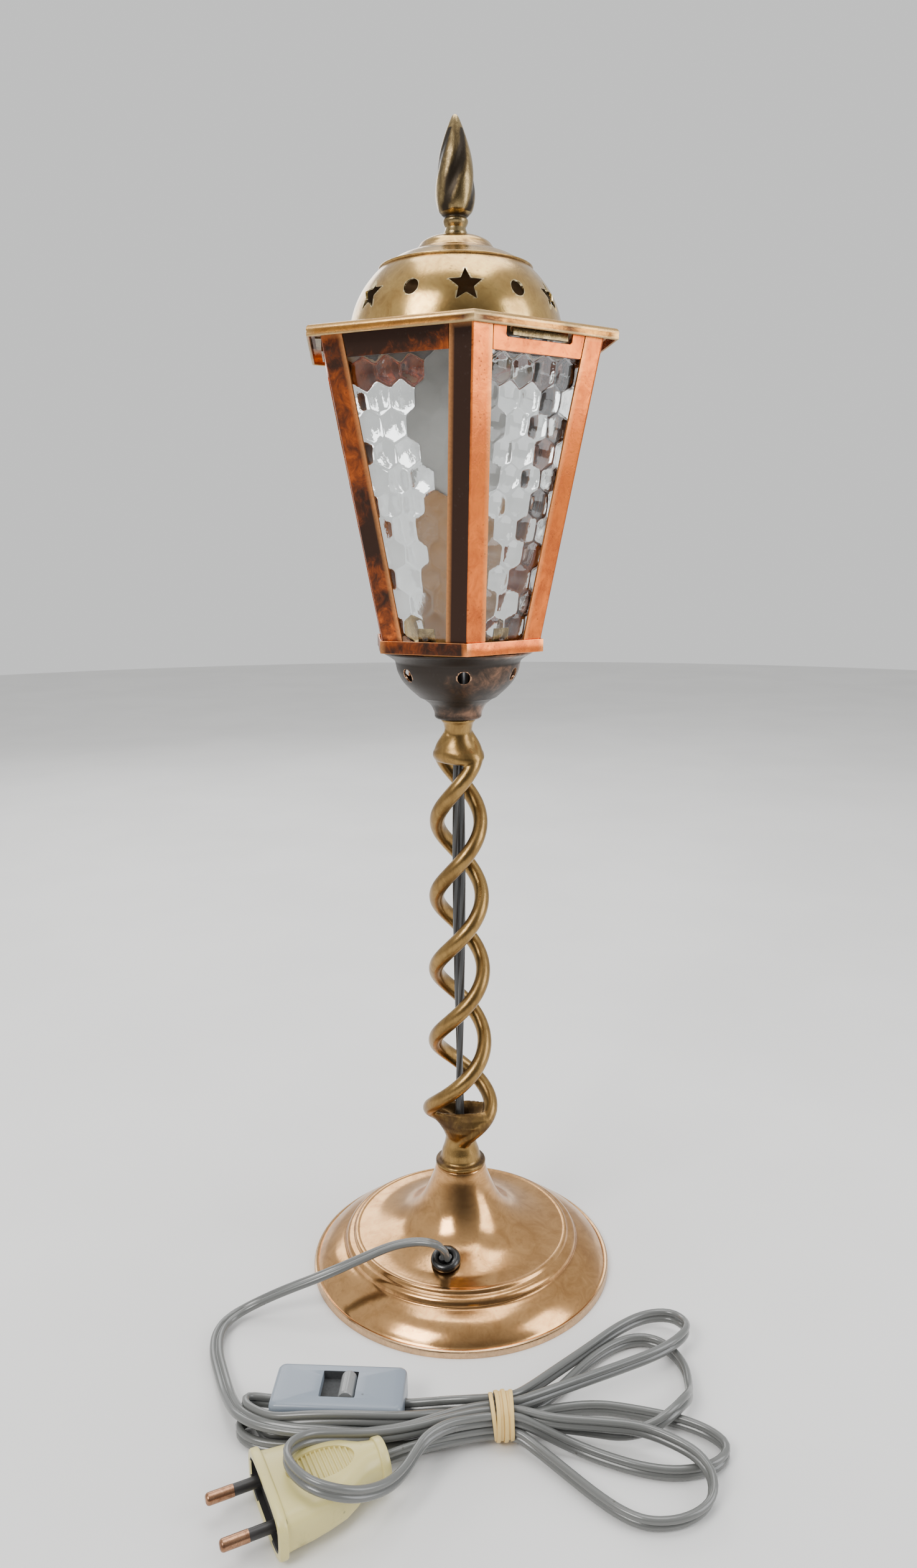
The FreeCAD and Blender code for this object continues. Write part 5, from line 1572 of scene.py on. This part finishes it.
# ---- studio -------------------------------------------------------------------------------------
@dataclass
class Studio:
    """Camera, pale floor, soft lights and pale surroundings."""

    eye: tuple[float, float, float] = (-0.0414, -0.4433, 0.3105)
    heading: tuple[float, float] = (0.0929, 0.9957)
    pitch: float = 12.05
    roll: float = -0.0055
    lens: float = 25.71

    def camera(self) -> None:
        """Makes the camera and sets it as the scene's."""
        data = bpy.data.cameras.new("view")
        data.sensor_fit, data.sensor_height, data.sensor_width = "VERTICAL", 36.0, 24.0
        data.lens, data.clip_start, data.clip_end = self.lens, 0.02, 40.0
        camera = bpy.data.objects.new("view", data)
        bpy.context.scene.collection.objects.link(camera)
        tilt = math.radians(self.pitch)
        look = Vector((self.heading[0] * math.cos(tilt), self.heading[1] * math.cos(tilt), -math.sin(tilt)))
        turn = look.to_track_quat("-Z", "Y").to_matrix().to_4x4() @ Matrix.Rotation(self.roll, 4, "Z")
        camera.matrix_world = Matrix.Translation(self.eye) @ turn
        bpy.context.scene.camera = camera

    def lamp(self, name: str, spot: tuple[float, float, float], target: tuple[float, float, float],
             size: tuple[float, float], power: float, tint: tuple[float, float, float] = (1.0, 1.0,
                                                                                          1.0)) -> None:
        """Adds a rectangular soft light that faces a target."""
        data = bpy.data.lights.new(name, "AREA")
        data.shape, data.size, data.size_y = "RECTANGLE", *size
        data.energy, data.color = power, tint
        light = bpy.data.objects.new(name, data)
        bpy.context.scene.collection.objects.link(light)
        light.location = spot
        light.rotation_mode = "QUATERNION"
        light.rotation_quaternion = (Vector(target) - Vector(spot)).to_track_quat("-Z", "Y")

    def floor(self) -> None:
        """Adds a wide matt floor just under the object."""
        rows = [[Vector((radius * math.cos(a), radius * math.sin(a), -0.05)) for a in turns(96)]
                for radius in (2600.0, 1400.0, 700.0, 300.0, 0.0)]
        floor = Shape().rings(rows, closed_ends=False).build("studio_floor")
        graph = Graph("studio_floor_paper")
        grain = graph.noise(6.0, 3.0)
        tone = graph.mix(grain.step(0.3, 0.7), (0.78, 0.775, 0.765, 1.0), (0.82, 0.815, 0.805, 1.0))
        floor.data.materials.append(graph.finish(Base_Color=tone, Roughness=0.75, IOR_Level=0.2))

    def world(self) -> None:
        """Gives the surroundings a soft pale gradient."""
        world = bpy.context.scene.world or bpy.data.worlds.new("studio")
        bpy.context.scene.world = world
        world.use_nodes = True
        nodes, links = world.node_tree.nodes, world.node_tree.links
        place, split, ramp = (nodes.new(kind) for kind in ("ShaderNodeTexCoord", "ShaderNodeSeparateXYZ",
                                                           "ShaderNodeValToRGB"))
        low, high = ramp.color_ramp.elements
        low.position, low.color = 0.0, (0.10, 0.10, 0.11, 1.0)
        high.position, high.color = 0.42, (0.88, 0.885, 0.88, 1.0)
        shift = nodes.new("ShaderNodeMath")
        shift.operation = "MULTIPLY_ADD"
        shift.inputs[1].default_value, shift.inputs[2].default_value = 0.5, 0.5
        links.new(place.outputs["Generated"], split.inputs[0])
        links.new(split.outputs["Y"], shift.inputs[0])
        links.new(shift.outputs[0], ramp.inputs[0])
        back = nodes.get("Background")
        links.new(ramp.outputs[0], back.inputs["Color"])
        back.inputs["Strength"].default_value = 0.95

    def build(self) -> None:
        """Makes floor, lights and surroundings."""
        self.floor()
        self.world()
        self.lamp("key_light", (-0.75, -0.75, 1.05), (0.0, 0.0, 0.2), (0.55, 0.55), 13.0, (1.0, 0.985, 0.96))
        self.lamp("fill_light", (0.95, -0.45, 0.6), (0.0, 0.0, 0.22), (0.5, 0.9), 7.0, (0.97, 0.98, 1.0))
        self.lamp("top_light", (0.05, 0.2, 1.25), (0.0, 0.0, 0.0), (0.8, 0.8), 9.0)
        self.lamp("back_light", (-0.35, 1.1, 0.75), (0.0, 0.0, 0.25), (0.9, 0.5), 5.0)


# ---- carried-over pieces ------------------------------------------------------------------------
def paint_nodes(finishes: dict[str, tuple[str, bpy.types.Material]]) -> None:
    """Gives each node that is shown as it is its finish, by the node's name."""
    for name, (slot, finish) in finishes.items():
        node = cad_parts[name]
        slots = node.data.materials
        if not slots:
            slots.append(finish)
        for i in range(len(slots)):
            slots[i] = finish
        LOG.info("%s carried over", name)


def main() -> None:
    """Builds the whole lamp."""
    logging.basicConfig(level=logging.INFO, format="%(name)s: %(message)s")
    studio = Studio()
    studio.camera()
    flex = Flex()
    grey = FLEX_GREY.make()
    cord, line, length = Cord(route=FLEX_ROUTE).build(flex, grey)
    switch = Switch().build(SWITCH_GREY.make(), KNOB_GREY.make())
    black = PLUG_BLACK.make()
    plug = Plug().build(PLUG_CREAM.make(), black)
    band = Band().build(BAND_TAN.make())
    [list(p * MM) for p in line]
    Foot().build(FOOT_BRASS.make(), GROMMET_BLACK.make())
    Stem().build(STEM_BRASS.make())
    lantern = Lantern()
    copper = FRAME_COPPER.make()
    lantern.build(copper, CUP_COPPER.make(), PANE_GLASS.make())
    roof_brass, dome_brass, finial_brass = ROOF_BRASS.make(), DOME_BRASS.make(), FINIAL_BRASS.make()
    Roof().build(roof_brass, dome_brass, finial_brass, lantern)
    Bulb().build(FROSTED_GLASS.make())
    steel, contact, brown = CLEAN_STEEL.make(), CONTACT_BRASS.make(), HOLDER_BROWN.make()
    pin = PIN_BRASS.make()
    inner = flex.sweep(flex.centreline(INNER_ROUTE, "inner_route", 90), Vector((1, 0, 0)),
                       "inner_mains_flex", 1.1)
    dress(inner, Body.LAMP, "grey_flex", FLEX_DARK.make(), "inner_flex")
    metal = ("plain_steel", steel)
    paint_nodes({
        "foot_weight": ("cast_iron", CAST_IRON.make()), "foot_base_plate": ("fibre_board", FIBRE.make()),
        "foot_felt": ("felt", FELT.make()),
        **{end + piece: metal for end in ("lower_", "upper_") for piece in ("nipple", "washer", "nut")},
        "frame_top_ring": ("frame_copper", copper), "pane_clips": ("contact_brass", finial_brass),
        "roof_tabs": ("dome_brass", finial_brass), "dome_rivets": ("dome_brass", finial_brass),
        "finial_stud": metal, "finial_washer": metal, "finial_nut": metal,
        "holder_base": ("holder_phenolic", brown), "holder_sleeve": ("holder_phenolic", brown),
        "holder_core": ("holder_ceramic", CERAMIC.make()), "holder_screw_shell": ("contact_brass", contact),
        "holder_contacts": ("contact_brass", contact), "bulb_cap": ("bulb_cap_metal", CAP_METAL.make()),
        "switch_contacts": ("contact_brass", contact), "switch_screw": metal,
        "plug_face": ("plug_black", black), "plug_pins": ("pin_brass", pin),
        "plug_sleeves": ("plug_black", black)})
    studio.build()


if __name__ == "__main__":
    main()
